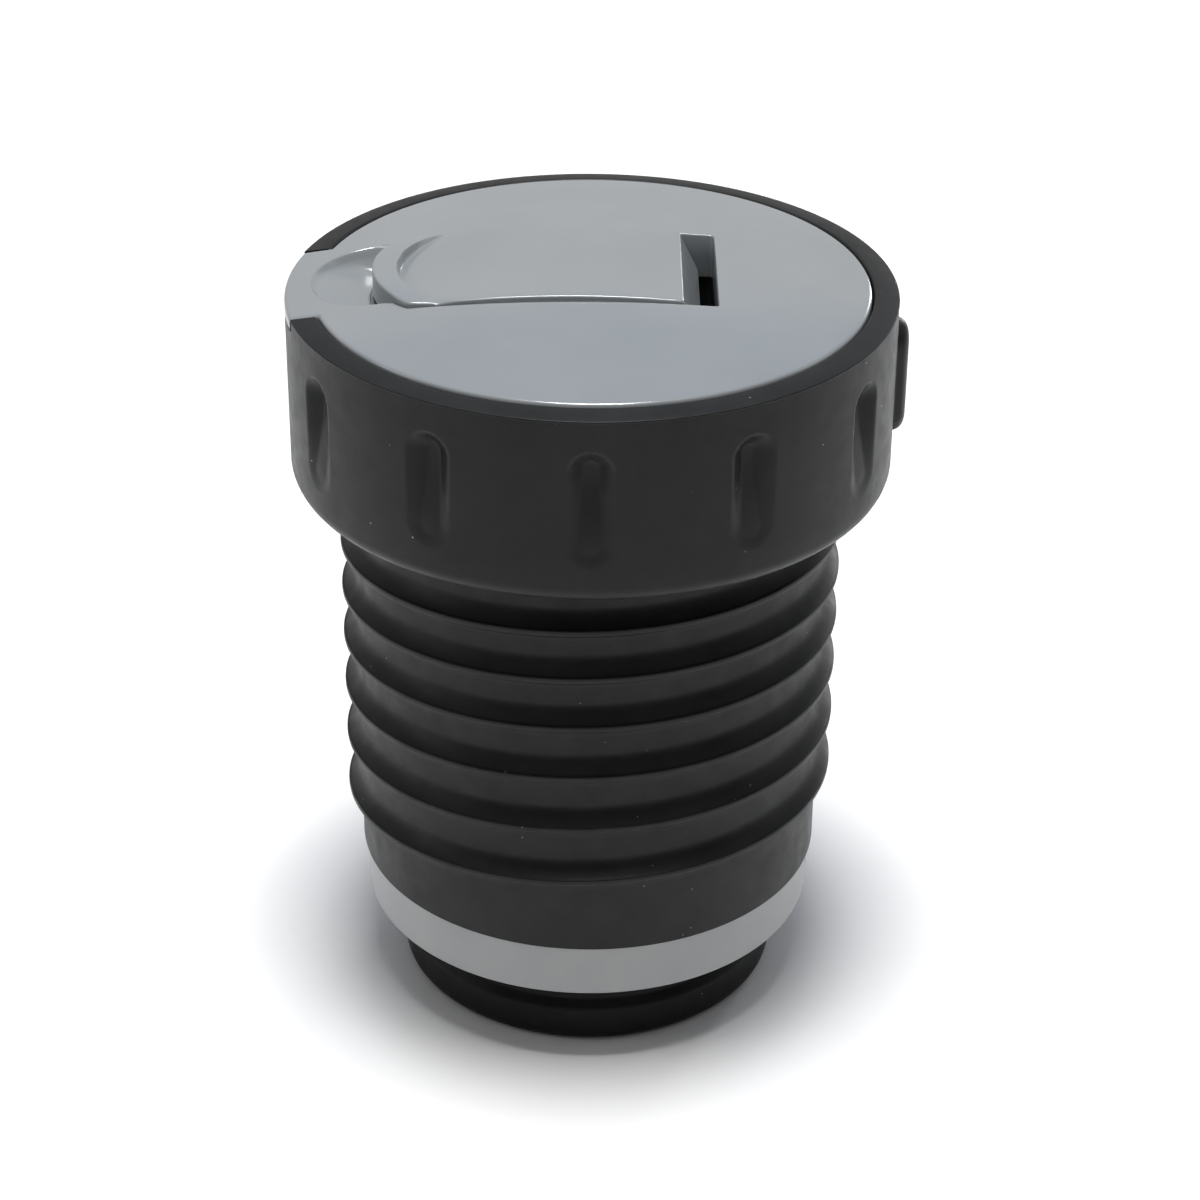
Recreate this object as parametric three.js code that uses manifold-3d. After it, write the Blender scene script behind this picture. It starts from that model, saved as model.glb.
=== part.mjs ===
// Bellows flush plunger of a portable toilet: a hand-pressed rubber bellows pump with a grip
// collar, a lid with a flip-up pull tab, and a valve base that seals in the tank's opening.
// Millimetres, +Z up. The origin is the centre of the foot, on the surface it stands on.
// The finger tongue of the lid points to -X and the collar's lug to +X.
import * as THREE from "three";
import { mergeVertices } from "three/addons/utils/BufferGeometryUtils.js";
import Module from "manifold-3d";

const wasm = await Module();
wasm.setup();

// ---- Driving dimensions ----
const GAP = 0.3; // clearance between touching pieces
const ROUND_SEGMENTS = 36; // sides of a large round piece
const SMALL_SEGMENTS = 12; // sides of a small round piece

// Valve base: the foot that plugs into the tank and the ring that shows above it
const RING_RADIUS = 38.4;
const RING_BOTTOM = 14.3;
const RING_TOP = 24.2;
const RING_CHAMFER = 0.6;
const FLOOR_THICKNESS = 3;
const FLOOR_TOP = RING_BOTTOM + FLOOR_THICKNESS;
const SLEEVE_SPIGOT_RADIUS = 36.9; // the bellows is stretched over this
const SLEEVE_SPIGOT_TOP = 33.5;
const SPIGOT_WALL = 2;
const FOOT_SPIGOT_RADIUS = 27;
const FOOT_SPIGOT_BOTTOM = 0.9;
const OUTLET_RADIUS = 12;
const PORT_COUNT = 16;
const PORT_RADIUS = 1.5;
const PORT_CIRCLE = 32.9;
const POST_CIRCLE = 21.2;
const POST_RADIUS = 3;
const POST_HOLE_DEPTH = 9;

// Foot seal
const SEAL_RADIUS = 32.3;
const SEAL_NECK_RADIUS = 30.9;
const SEAL_LIP_HEIGHT = 6.5;
const SEAL_TOE_ROUND = 2.2; // rounding of the lip's lower edge
const SEAL_CROWN_ROUND = 1.5; // rounding of its upper edge
const SEAL_SHOULDER_RISE = 2; // from the lip up to the neck

// Bellows sleeve with its one helical rib
const SLEEVE_RADIUS = 39.2;
const SLEEVE_INNER = SLEEVE_SPIGOT_RADIUS + GAP;
const SLEEVE_TOP = 109.4;
const RIB_CREST_RADIUS = 41.5;
const RIB_HALF_WIDTH = 2.6;
const RIB_START = 37; // height of the lowest turn at the front, before the sway
const RIB_LEAD = 10.3; // of the lowest turn
const RIB_CLOSING = 0.2; // the turns close up towards the top
const RIB_SWAY = 1.9; // the rib runs this much higher at the front and lower at the back
const RIB_FIRST_TURN = -0.5; // turns from the front, so the rib starts at the back
const RIB_LAST_TURN = 5.75;
const RIB_FADE_TURNS = 0.25;
const RIB_PASSES = 8; // more than the rib's turns
const RIB_ZONE_BOTTOM = 29;
const RIB_ZONE_TOP = 96;
const RIB_ROWS = 42;
const RIB_COLUMNS = 32;

// Grip collar
const COLLAR_RADIUS = 49;
const COLLAR_SEGMENTS = 48;
const COLLAR_BOTTOM = 94.4;
const COLLAR_RIM = 125.4;
const COLLAR_BEVEL_RISE = 0.6;
const COLLAR_FILLET = 3; // rounding of its lower edge
const COLLAR_SKIRT_INNER = 45.4;
const COLLAR_LIP_RADIUS = 44.9; // mouth that the lid sits in
const FLANGE_RADIUS = 42;
const FLANGE_BOTTOM = 118;
const FLANGE_TOP = 121;
const NOTCH_BOTTOM = 123.4; // floor of the notch that the lid's tongue lies in
const GRIP_COUNT = 12;
const GRIP_WIDTH = 7.5;
const GRIP_BOTTOM = 101;
const GRIP_TOP = 120.4;
const GRIP_DEPTH = 2;
const LUG_PROUD = 2;
const LUG_ROOT = 1; // how deep the lug is joined into the wall

// Press lid
const LID_RADIUS = 44.6;
const LID_BOTTOM = FLANGE_TOP + GAP;
const LID_EDGE_TOP = 126.1;
const DOME_RISE = 3.5;
const DOME_RINGS = 6;
const LID_WALL = 2.2;
const LID_CAVITY_RADIUS = 41;
const TONGUE_HALF_WIDTH = 13.3;
const SCOOP_LENGTH = 11; // from its centre to its end near the tongue's edge
const SCOOP_HALF_WIDTH = 11.5;
const SCOOP_CENTRE_X = -35;
const SCOOP_DEPTH = 3.9;
const SCOOP_CENTRE_Z = 127.4;

// Pull tab and its hinge
const TAB_HALF_WIDTH = 13.8;
const TAB_HEEL_X = 14.3;
const TAB_LIP_X = -35;
const TAB_LIP_SAGITTA = 6.5;
const TAB_LIP_WIDTH = 4;
const TAB_LIP_TOP = 129.2;
const TAB_BOTTOM = 125;
const PAD_CROWN_X = -2; // the pad is a shallow arch with its crown here, lower than the lip beside it
const PAD_CROWN_Z = 130;
const PAD_ARCH_DIAMETER = 360;
const PAD_STEPS = 8;
const HEEL_NOSE_X = 17.3; // the heel's end slopes out to a nose below the slot's mouth
const HEEL_NOSE_Z = 122.6;
const HEEL_NOSE_HEIGHT = 1.6;
const HEEL_INSET = 0.4; // how far the heel's top lies under the tab's surface
const HEEL_BOTTOM = 117.6;
const HEEL_LENGTH = 7.5;
const HEEL_SWING = 3; // room behind the heel for it to swing down
const SLOT_END_X = 19.7;
const PIN_X = 10;
const PIN_Z = 121.6;
const PIN_RADIUS = 1;
const CHEEK_WIDTH = 3.2;
const CHEEK_HALF_LENGTH = 3.4;
const CHEEK_BOTTOM = 118.2;

// Head plate, screws and clamp
const PLATE_BOTTOM = 109.8;
const PLATE_TOP = 113.4;
const PLATE_RADIUS = 45.1;
const PLATE_RIM_INNER = 42.4;
const PLATE_RIM_TOP = FLANGE_BOTTOM - GAP;
const PLATE_NECK_BOTTOM = 97.6;
const BOSS_RADIUS = 3.2;
const BOSS_OFFSET = 19.5;
const SCREW_SHANK_RADIUS = 1.4;
const SCREW_CORE_RADIUS = 1.3;
const SCREW_HOLE_RADIUS = 1.6;
const SCREW_HEAD_RADIUS = 2.9;
const SCREW_HEAD_HEIGHT = 1.7;
const BAND_RADIUS = 40.6;
const BAND_BOTTOM = 100;
const BAND_TOP = 107;

// Springs and valves
const RETURN_SPRING_RADIUS = 33;
const RETURN_WIRE_RADIUS = 1.1;
const RETURN_TURNS = 7;
const OUTLET_SPRING_RADIUS = 5.4;
const OUTLET_WIRE_RADIUS = 0.5;
const OUTLET_SPRING_TURNS = 4;
const COIL_STEPS_PER_TURN = 16;
const WIRE_SIDES = 5;
const POPPET_RADIUS = 14.6;
const POPPET_TOP = RING_BOTTOM - GAP;
const POPPET_THICKNESS = 2.4;
const POPPET_CHAMFER = 1;
const POPPET_SEGMENTS = 28;
const CAGE_RADIUS = 24.6;
const CAGE_RING_INNER = 17.8;
const CAGE_THICKNESS = 3;
const CAGE_ARM_HALF_WIDTH = 2;
const CAGE_ARM_THICKNESS = 2.4;
const CAGE_SCREW_INSET = 0.2; // how far a cage screw's head lies above the foot
const CAGE_SCREW_TIP = CAGE_THICKNESS + POST_HOLE_DEPTH - 1;
const HUB_RADIUS = 3.8;
const HUB_FACE_RADIUS = 6;
const HUB_TOP = 8;
const STEM_RADIUS = 1.8;
const STEM_BOTTOM = 5.6;
const STEM_SOCKET_BOTTOM = 2;
const FLAP_INNER = 30.4;
const FLAP_OUTER = 34.5;
const FLAP_BOTTOM = FLOOR_TOP + GAP;
const FLAP_TOP = FLAP_BOTTOM + 1;
const FLAP_LIFT = 2;
const RETAINER_INNER = 27.6;
const RETAINER_WALL = 30; // outer radius of its wall, inside the flap
const RETAINER_LIP = 34.4; // outer radius of the lip that stops the flap
const RETAINER_LIP_BOTTOM = FLAP_TOP + FLAP_LIFT + GAP;
const RETAINER_TOP = RETAINER_LIP_BOTTOM + 1.2;

// ---- Solids ----
function solid(geometry) {
  const closed = geometry.index ? geometry.toNonIndexed() : geometry.clone();
  closed.deleteAttribute("normal");
  closed.deleteAttribute("uv");
  const merged = mergeVertices(closed, 1e-4);
  return new wasm.Manifold(
    new wasm.Mesh({
      numProp: 3,
      vertProperties: new Float32Array(merged.attributes.position.array),
      triVerts: new Uint32Array(merged.index.array),
    }),
  );
}

// A body of revolution about Z from a closed [radius, z] outline, counter-clockwise.
function turned(outline, segments = ROUND_SEGMENTS) {
  const points = outline.map(([r, z]) => new THREE.Vector2(r, z));
  const closesOnItself = outline[0][0] > 0;
  if (closesOnItself) points.push(points[0].clone());
  return solid(new THREE.LatheGeometry(points, segments).rotateX(Math.PI / 2));
}

// A round corner of an outline: points on an arc between two angles in degrees.
function corner(centreRadius, centreZ, radius, from, to, steps = 3) {
  return Array.from({ length: steps + 1 }, (_, i) => {
    const angle = THREE.MathUtils.degToRad(from + ((to - from) * i) / steps);
    return [centreRadius + radius * Math.cos(angle), centreZ + radius * Math.sin(angle)];
  });
}

function ring(inner, outer, bottom, top) {
  return turned([[inner, bottom], [outer, bottom], [outer, top], [inner, top]]);
}

function disc(radius, bottom, top, x = 0, y = 0, segments = SMALL_SEGMENTS) {
  const geometry = new THREE.CylinderGeometry(radius, radius, top - bottom, segments);
  geometry.rotateX(Math.PI / 2).translate(x, y, (bottom + top) / 2);
  return solid(geometry);
}

function block(low, high) {
  const size = high.map((value, i) => value - low[i]);
  const centre = high.map((value, i) => (value + low[i]) / 2);
  return solid(new THREE.BoxGeometry(...size).translate(...centre));
}

// An outline in the XY plane, raised from bottom to top.
function raised(shape, bottom, top, curveSegments = 8) {
  const settings = { depth: top - bottom, bevelEnabled: false, curveSegments };
  return solid(new THREE.ExtrudeGeometry(shape, settings).translate(0, 0, bottom));
}

class Helix extends THREE.Curve {
  constructor(radius, bottom, lead, turns) {
    super();
    Object.assign(this, { radius, bottom, lead, turns });
  }

  getPoint(t, target = new THREE.Vector3()) {
    const angle = 2 * Math.PI * this.turns * t;
    const height = this.bottom + this.lead * this.turns * t;
    return target.set(this.radius * Math.cos(angle), this.radius * Math.sin(angle), height);
  }
}

function coil(helix, wireRadius) {
  const corners = Array.from({ length: WIRE_SIDES }, (_, i) => {
    const angle = (2 * Math.PI * i) / WIRE_SIDES;
    return new THREE.Vector2(wireRadius * Math.cos(angle), wireRadius * Math.sin(angle));
  });
  const steps = helix.turns * COIL_STEPS_PER_TURN;
  const settings = { steps, extrudePath: helix };
  return solid(new THREE.ExtrudeGeometry(new THREE.Shape(corners), settings));
}

const group = new THREE.Group();

function add(name, shape, color, roughness, metalness = 0) {
  const { numProp, vertProperties, triVerts } = shape.getMesh();
  const geometry = new THREE.BufferGeometry();
  const positions = new THREE.BufferAttribute(new Float32Array(vertProperties), numProp);
  geometry.setAttribute("position", positions);
  geometry.setIndex(new THREE.BufferAttribute(new Uint32Array(triVerts), 1));
  geometry.computeVertexNormals();
  const material = new THREE.MeshStandardMaterial({ color, roughness, metalness });
  const mesh = new THREE.Mesh(geometry, material);
  mesh.name = name;
  group.add(mesh);
}

const BLACK_RUBBER = ["#2a2a2a", 0.55];
const BLACK_PLASTIC = ["#2b2b2b", 0.45];
const GREY_PLASTIC = ["#a9acb0", 0.22];
const PALE_PLASTIC = ["#bebeba", 0.4];
const STEEL = ["#b8babc", 0.3, 1];

// ---- Valve base ----
function onCircle(radius, index, count, offset = 0) {
  const angle = (2 * Math.PI * (index + offset)) / count;
  return [radius * Math.cos(angle), radius * Math.sin(angle)];
}

const CAGE_SCREWS = [0, 1, 2].map((i) => onCircle(POST_CIRCLE, i, 3, 0.25));

function valveBase() {
  const spigotInner = SLEEVE_SPIGOT_RADIUS - SPIGOT_WALL;
  const footInner = FOOT_SPIGOT_RADIUS - SPIGOT_WALL;
  let base = turned([
    [OUTLET_RADIUS, RING_BOTTOM],
    [footInner, RING_BOTTOM],
    [footInner, FOOT_SPIGOT_BOTTOM],
    [FOOT_SPIGOT_RADIUS, FOOT_SPIGOT_BOTTOM],
    [FOOT_SPIGOT_RADIUS, RING_BOTTOM],
    [RING_RADIUS - RING_CHAMFER, RING_BOTTOM],
    [RING_RADIUS, RING_BOTTOM + RING_CHAMFER],
    [RING_RADIUS, RING_TOP - GAP],
    [SLEEVE_SPIGOT_RADIUS, RING_TOP - GAP],
    [SLEEVE_SPIGOT_RADIUS, SLEEVE_SPIGOT_TOP],
    [spigotInner, SLEEVE_SPIGOT_TOP],
    [spigotInner, FLOOR_TOP],
    [OUTLET_RADIUS, FLOOR_TOP],
  ]);
  for (let i = 0; i < PORT_COUNT; i += 1) {
    const [x, y] = onCircle(PORT_CIRCLE, i, PORT_COUNT);
    base = base.subtract(disc(PORT_RADIUS, RING_BOTTOM - 1, FLOOR_TOP + 1, x, y, 8));
  }
  for (const [x, y] of CAGE_SCREWS) {
    const postBottom = CAGE_THICKNESS + GAP;
    base = base.add(disc(POST_RADIUS, postBottom, RING_BOTTOM + 1, x, y));
    const holeTop = postBottom + POST_HOLE_DEPTH;
    base = base.subtract(disc(SCREW_HOLE_RADIUS, postBottom - 1, holeTop, x, y, 8));
  }
  return base;
}

function footSeal() {
  const inner = FOOT_SPIGOT_RADIUS + GAP;
  const top = RING_BOTTOM - GAP;
  const toe = [SEAL_RADIUS - SEAL_TOE_ROUND, SEAL_TOE_ROUND, SEAL_TOE_ROUND];
  const crown = [SEAL_RADIUS - SEAL_CROWN_ROUND, SEAL_LIP_HEIGHT - SEAL_CROWN_ROUND, SEAL_CROWN_ROUND];
  return turned([
    [inner, 0],
    ...corner(...toe, -90, 0),
    ...corner(...crown, 0, 60, 2),
    [SEAL_NECK_RADIUS, SEAL_LIP_HEIGHT + SEAL_SHOULDER_RISE],
    [SEAL_NECK_RADIUS, top],
    [inner, top],
  ]);
}

// Plate with a centre hub that guides the poppet's stem and three arms the water passes between.
function outletCage() {
  let cage = ring(CAGE_RING_INNER, CAGE_RADIUS, 0, CAGE_THICKNESS);
  for (let i = 0; i < 3; i += 1) {
    const arm = block(
      [0, -CAGE_ARM_HALF_WIDTH, 0],
      [CAGE_RING_INNER + 1, CAGE_ARM_HALF_WIDTH, CAGE_ARM_THICKNESS],
    );
    cage = cage.add(arm.rotate([0, 0, 120 * i - 30]));
  }
  cage = cage.add(disc(HUB_FACE_RADIUS, 0, CAGE_ARM_THICKNESS));
  cage = cage.add(disc(HUB_RADIUS, 0, HUB_TOP));
  cage = cage.subtract(disc(STEM_RADIUS + GAP, STEM_SOCKET_BOTTOM, HUB_TOP + 1));
  for (const [x, y] of CAGE_SCREWS) {
    cage = cage.subtract(disc(SCREW_SHANK_RADIUS + GAP, -1, CAGE_THICKNESS + 1, x, y));
    cage = cage.subtract(disc(SCREW_HEAD_RADIUS + GAP, -1, SCREW_HEAD_HEIGHT, x, y));
  }
  return cage;
}

function screw(x, y, headBottom, shankTop) {
  const head = disc(SCREW_HEAD_RADIUS, headBottom, headBottom + SCREW_HEAD_HEIGHT - GAP, x, y);
  return head.add(disc(SCREW_CORE_RADIUS, headBottom + SCREW_HEAD_HEIGHT / 2, shankTop, x, y, 8));
}

function poppet() {
  const bottom = POPPET_TOP - POPPET_THICKNESS;
  return turned([
    [0, STEM_BOTTOM],
    [STEM_RADIUS, STEM_BOTTOM],
    [STEM_RADIUS, bottom],
    [POPPET_RADIUS - POPPET_CHAMFER, bottom],
    [POPPET_RADIUS, bottom + POPPET_CHAMFER],
    [POPPET_RADIUS, POPPET_TOP],
    [0, POPPET_TOP],
  ], POPPET_SEGMENTS);
}

function flapRetainer() {
  return turned([
    [RETAINER_INNER, FLAP_BOTTOM],
    [RETAINER_WALL, FLAP_BOTTOM],
    [RETAINER_WALL, RETAINER_LIP_BOTTOM],
    [RETAINER_LIP, RETAINER_LIP_BOTTOM],
    [RETAINER_LIP, RETAINER_TOP],
    [RETAINER_INNER, RETAINER_TOP],
  ]);
}

add("valve_base", valveBase(), ...PALE_PLASTIC);
add("foot_seal", footSeal(), ...BLACK_RUBBER);
add("outlet_cage", outletCage(), ...PALE_PLASTIC);
CAGE_SCREWS.forEach(([x, y], i) => {
  add(`cage_screw_${i + 1}`, screw(x, y, CAGE_SCREW_INSET, CAGE_SCREW_TIP), ...STEEL);
});
add("outlet_poppet", poppet(), ...BLACK_RUBBER);
add("inlet_flap", ring(FLAP_INNER, FLAP_OUTER, FLAP_BOTTOM, FLAP_TOP), ...BLACK_RUBBER);
add("flap_retainer", flapRetainer(), ...PALE_PLASTIC);

// ---- Springs ----
function spring(radius, wireRadius, bottom, top, turns) {
  const first = bottom + wireRadius;
  const lead = (top - bottom - 2 * wireRadius) / turns;
  return coil(new Helix(radius, first, lead, turns), wireRadius);
}

const returnBottom = RETAINER_TOP + GAP;
const returnTop = PLATE_BOTTOM - GAP;
const outletBottom = CAGE_THICKNESS + GAP;
const outletTop = POPPET_TOP - POPPET_THICKNESS - GAP;
add(
  "return_spring",
  spring(RETURN_SPRING_RADIUS, RETURN_WIRE_RADIUS, returnBottom, returnTop, RETURN_TURNS),
  ...STEEL,
);
add(
  "outlet_spring",
  spring(OUTLET_SPRING_RADIUS, OUTLET_WIRE_RADIUS, outletBottom, outletTop, OUTLET_SPRING_TURNS),
  ...STEEL,
);

// ---- Bellows ----
// Height of the rib's crest, some turns after it first passes the front
function crestHeight(turn) {
  const sway = RIB_SWAY * Math.cos(2 * Math.PI * turn);
  return RIB_START + RIB_LEAD * turn - RIB_CLOSING * turn ** 2 + sway;
}

// The rib rises to the right across the front (right-handed) and dies away at both ends.
function ribHeight(angle, z) {
  const frontTurns = angle / (2 * Math.PI) + 0.25;
  const turns = Array.from({ length: RIB_PASSES }, (_, i) => i - 1 + frontTurns);
  const distances = turns.map((turn) => Math.abs(z - crestHeight(turn)));
  const fromCrest = Math.min(...distances);
  const turn = turns[distances.indexOf(fromCrest)];
  const fade = Math.min(turn - RIB_FIRST_TURN, RIB_LAST_TURN - turn) / RIB_FADE_TURNS;
  if (fromCrest > RIB_HALF_WIDTH || fade <= 0) return 0;
  const swell = Math.cos((Math.PI * fromCrest) / (2 * RIB_HALF_WIDTH));
  return (RIB_CREST_RADIUS - SLEEVE_RADIUS) * swell * Math.min(1, fade);
}

// Joins one closed [radius, z] outline for each angle into a tube-like body.
function swept(outlineAt, columns) {
  const positions = [];
  const index = [];
  const rows = outlineAt(0).length;
  for (let i = 0; i < columns; i += 1) {
    const angle = (2 * Math.PI * i) / columns;
    for (const [r, z] of outlineAt(angle)) {
      positions.push(r * Math.cos(angle), r * Math.sin(angle), z);
    }
    for (let j = 0; j < rows; j += 1) {
      const next = ((i + 1) % columns) * rows;
      const up = (j + 1) % rows;
      index.push(i * rows + j, next + j, next + up, i * rows + j, next + up, i * rows + up);
    }
  }
  const geometry = new THREE.BufferGeometry();
  geometry.setAttribute("position", new THREE.Float32BufferAttribute(positions, 3));
  geometry.setIndex(index);
  return solid(geometry);
}

function bellows() {
  const outlineAt = (angle) => {
    const outline = [[SLEEVE_INNER, RING_TOP], [SLEEVE_RADIUS, RING_TOP]];
    for (let i = 0; i <= RIB_ROWS; i += 1) {
      const z = RIB_ZONE_BOTTOM + ((RIB_ZONE_TOP - RIB_ZONE_BOTTOM) * i) / RIB_ROWS;
      outline.push([SLEEVE_RADIUS + ribHeight(angle, z), z]);
    }
    outline.push([SLEEVE_RADIUS, SLEEVE_TOP], [SLEEVE_INNER, SLEEVE_TOP]);
    return outline;
  };
  return swept(outlineAt, RIB_COLUMNS);
}

add("bellows", bellows(), ...BLACK_RUBBER);
add("top_clamp_band", ring(SLEEVE_RADIUS + GAP, BAND_RADIUS, BAND_BOTTOM, BAND_TOP), ...STEEL);

// ---- Grip collar ----
function gripOutline() {
  const radius = GRIP_WIDTH / 2;
  const shape = new THREE.Shape();
  shape.absarc(0, GRIP_TOP - radius, radius, 0, Math.PI);
  shape.absarc(0, GRIP_BOTTOM + radius, radius, Math.PI, 2 * Math.PI);
  return shape;
}

// A stadium-shaped prism standing on the collar's side, from innerRadius to outerRadius.
function gripPrism(innerRadius, outerRadius, angleDegrees) {
  const settings = { depth: outerRadius - innerRadius, bevelEnabled: false, curveSegments: 6 };
  const geometry = new THREE.ExtrudeGeometry(gripOutline(), settings);
  geometry.rotateX(Math.PI / 2).translate(0, -innerRadius, 0);
  return solid(geometry).rotate([0, 0, angleDegrees + 90]);
}

function gripCollar() {
  const lowerEdge = [COLLAR_RADIUS - COLLAR_FILLET, COLLAR_BOTTOM + COLLAR_FILLET, COLLAR_FILLET];
  let collar = turned([
    [COLLAR_SKIRT_INNER, COLLAR_BOTTOM],
    ...corner(...lowerEdge, -90, 0),
    [COLLAR_RADIUS, COLLAR_RIM],
    [COLLAR_LIP_RADIUS, COLLAR_RIM + COLLAR_BEVEL_RISE],
    [COLLAR_LIP_RADIUS, FLANGE_TOP],
    [FLANGE_RADIUS, FLANGE_TOP],
    [FLANGE_RADIUS, FLANGE_BOTTOM],
    [COLLAR_SKIRT_INNER, FLANGE_BOTTOM],
  ], COLLAR_SEGMENTS);
  for (let i = 1; i < GRIP_COUNT; i += 1) {
    const angle = (360 * i) / GRIP_COUNT;
    collar = collar.subtract(gripPrism(COLLAR_RADIUS - GRIP_DEPTH, COLLAR_RADIUS + 2, angle));
  }
  collar = collar.add(gripPrism(COLLAR_RADIUS - LUG_ROOT, COLLAR_RADIUS + LUG_PROUD, 0));
  const notchHalf = TONGUE_HALF_WIDTH + GAP;
  const notch = block(
    [-COLLAR_RADIUS - 2, -notchHalf, NOTCH_BOTTOM],
    [-FLANGE_RADIUS, notchHalf, LID_EDGE_TOP + 2],
  );
  return collar.subtract(notch);
}

add("grip_collar", gripCollar(), ...BLACK_PLASTIC);

// ---- Press lid and pull tab ----
function domeHeight(radius) {
  return LID_EDGE_TOP + DOME_RISE * (1 - (radius / LID_RADIUS) ** 2);
}

// The lid's domed envelope, carried on past its edge so that the tongue follows it.
function dome(bottom, radius, sunk = 0) {
  const outline = [[0, bottom], [radius, bottom]];
  for (let i = DOME_RINGS; i >= 0; i -= 1) {
    const r = (radius * i) / DOME_RINGS;
    outline.push([r, domeHeight(r) - sunk]);
  }
  return turned(outline);
}

function tabOutline(grow) {
  const half = TAB_HALF_WIDTH + grow;
  const lipX = TAB_LIP_X - grow;
  const lipRadius = (half ** 2 + TAB_LIP_SAGITTA ** 2) / (2 * TAB_LIP_SAGITTA);
  const sweep = Math.asin(half / lipRadius);
  const shape = new THREE.Shape();
  shape.moveTo(TAB_HEEL_X, -half);
  shape.lineTo(TAB_HEEL_X, half);
  shape.absarc(lipX + lipRadius, 0, lipRadius, Math.PI - sweep, Math.PI + sweep);
  shape.closePath();
  return shape;
}

const ABOVE_LID = LID_EDGE_TOP + 5;
const POCKET_FLOOR = TAB_BOTTOM - GAP;
const POCKET_WALL = 2;
const HEEL_CLEAR_X = TAB_HEEL_X - HEEL_LENGTH - HEEL_SWING;
const BOSS_SIGNS = [[-1, -1], [1, -1], [1, 1], [-1, 1]];
const BOSSES = BOSS_SIGNS.map((signs) => signs.map((sign) => sign * BOSS_OFFSET));

// What is open under the lid: all but its wall, the tab's pocket and the root of the tongue.
function lidCavity() {
  const pocket = raised(tabOutline(POCKET_WALL), LID_BOTTOM - 1, ABOVE_LID);
  const slotWalls = block(
    [0, -TAB_HALF_WIDTH - POCKET_WALL, LID_BOTTOM - 1],
    [SLOT_END_X + POCKET_WALL, TAB_HALF_WIDTH + POCKET_WALL, ABOVE_LID],
  );
  const tongueRoot = block(
    [-LID_RADIUS, -TONGUE_HALF_WIDTH, LID_BOTTOM - 1],
    [TAB_LIP_X + TAB_LIP_SAGITTA, TONGUE_HALF_WIDTH, ABOVE_LID],
  );
  const space = dome(LID_BOTTOM - 1, LID_CAVITY_RADIUS, LID_WALL);
  return space.subtract(pocket).subtract(slotWalls).subtract(tongueRoot);
}

function pressLid() {
  const tongueBlank = dome(NOTCH_BOTTOM + GAP, COLLAR_RADIUS);
  const tongueBounds = block(
    [-COLLAR_RADIUS - 1, -TONGUE_HALF_WIDTH, LID_BOTTOM],
    [0, TONGUE_HALF_WIDTH, ABOVE_LID],
  );
  let lid = dome(LID_BOTTOM, LID_RADIUS).add(tongueBlank.intersect(tongueBounds));
  lid = lid.subtract(lidCavity());
  for (const [x, y] of BOSSES) {
    lid = lid.add(disc(BOSS_RADIUS, PLATE_TOP + GAP, domeHeight(2 * BOSS_OFFSET), x, y));
    lid = lid.subtract(disc(SCREW_SHANK_RADIUS, PLATE_TOP - 1, LID_BOTTOM, x, y, 8));
  }
  const cheekInner = TAB_HALF_WIDTH + GAP;
  for (const side of [-1, 1]) {
    const near = side * cheekInner;
    const far = side * (cheekInner + CHEEK_WIDTH);
    lid = lid.add(block(
      [PIN_X - CHEEK_HALF_LENGTH, Math.min(near, far), CHEEK_BOTTOM],
      [PIN_X + CHEEK_HALF_LENGTH, Math.max(near, far), domeHeight(2 * cheekInner)],
    ));
  }
  // Blind pocket under the tab, through slot at its heel, and the finger scoop before its lip
  lid = lid.subtract(raised(tabOutline(GAP), POCKET_FLOOR, ABOVE_LID));
  lid = lid.subtract(block(
    [HEEL_CLEAR_X, -cheekInner, LID_BOTTOM - 1],
    [SLOT_END_X, cheekInner, ABOVE_LID],
  ));
  const scoop = new THREE.SphereGeometry(1, 20, 14);
  scoop.scale(SCOOP_LENGTH, SCOOP_HALF_WIDTH, SCOOP_DEPTH);
  scoop.translate(SCOOP_CENTRE_X, 0, SCOOP_CENTRE_Z);
  lid = lid.subtract(solid(scoop));
  return lid.subtract(pinRod(PIN_RADIUS + GAP, cheekInner + CHEEK_WIDTH + 1));
}

function pinRod(radius, halfLength) {
  const rod = new THREE.CylinderGeometry(radius, radius, 2 * halfLength, 12);
  return solid(rod.translate(PIN_X, 0, PIN_Z));
}

// A prism across the tab's width from an outline of [x, z] points.
function acrossTab(outline, halfWidth) {
  const shape = new THREE.Shape(outline.map(([x, z]) => new THREE.Vector2(x, z)));
  const settings = { depth: 2 * halfWidth, bevelEnabled: false };
  const geometry = new THREE.ExtrudeGeometry(shape, settings);
  return solid(geometry.rotateX(Math.PI / 2).translate(0, halfWidth, 0));
}

// Height of the tab's pad, a cylinder's arc along the tab.
function padHeight(x) {
  return PAD_CROWN_Z - (x - PAD_CROWN_X) ** 2 / PAD_ARCH_DIAMETER;
}

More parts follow.
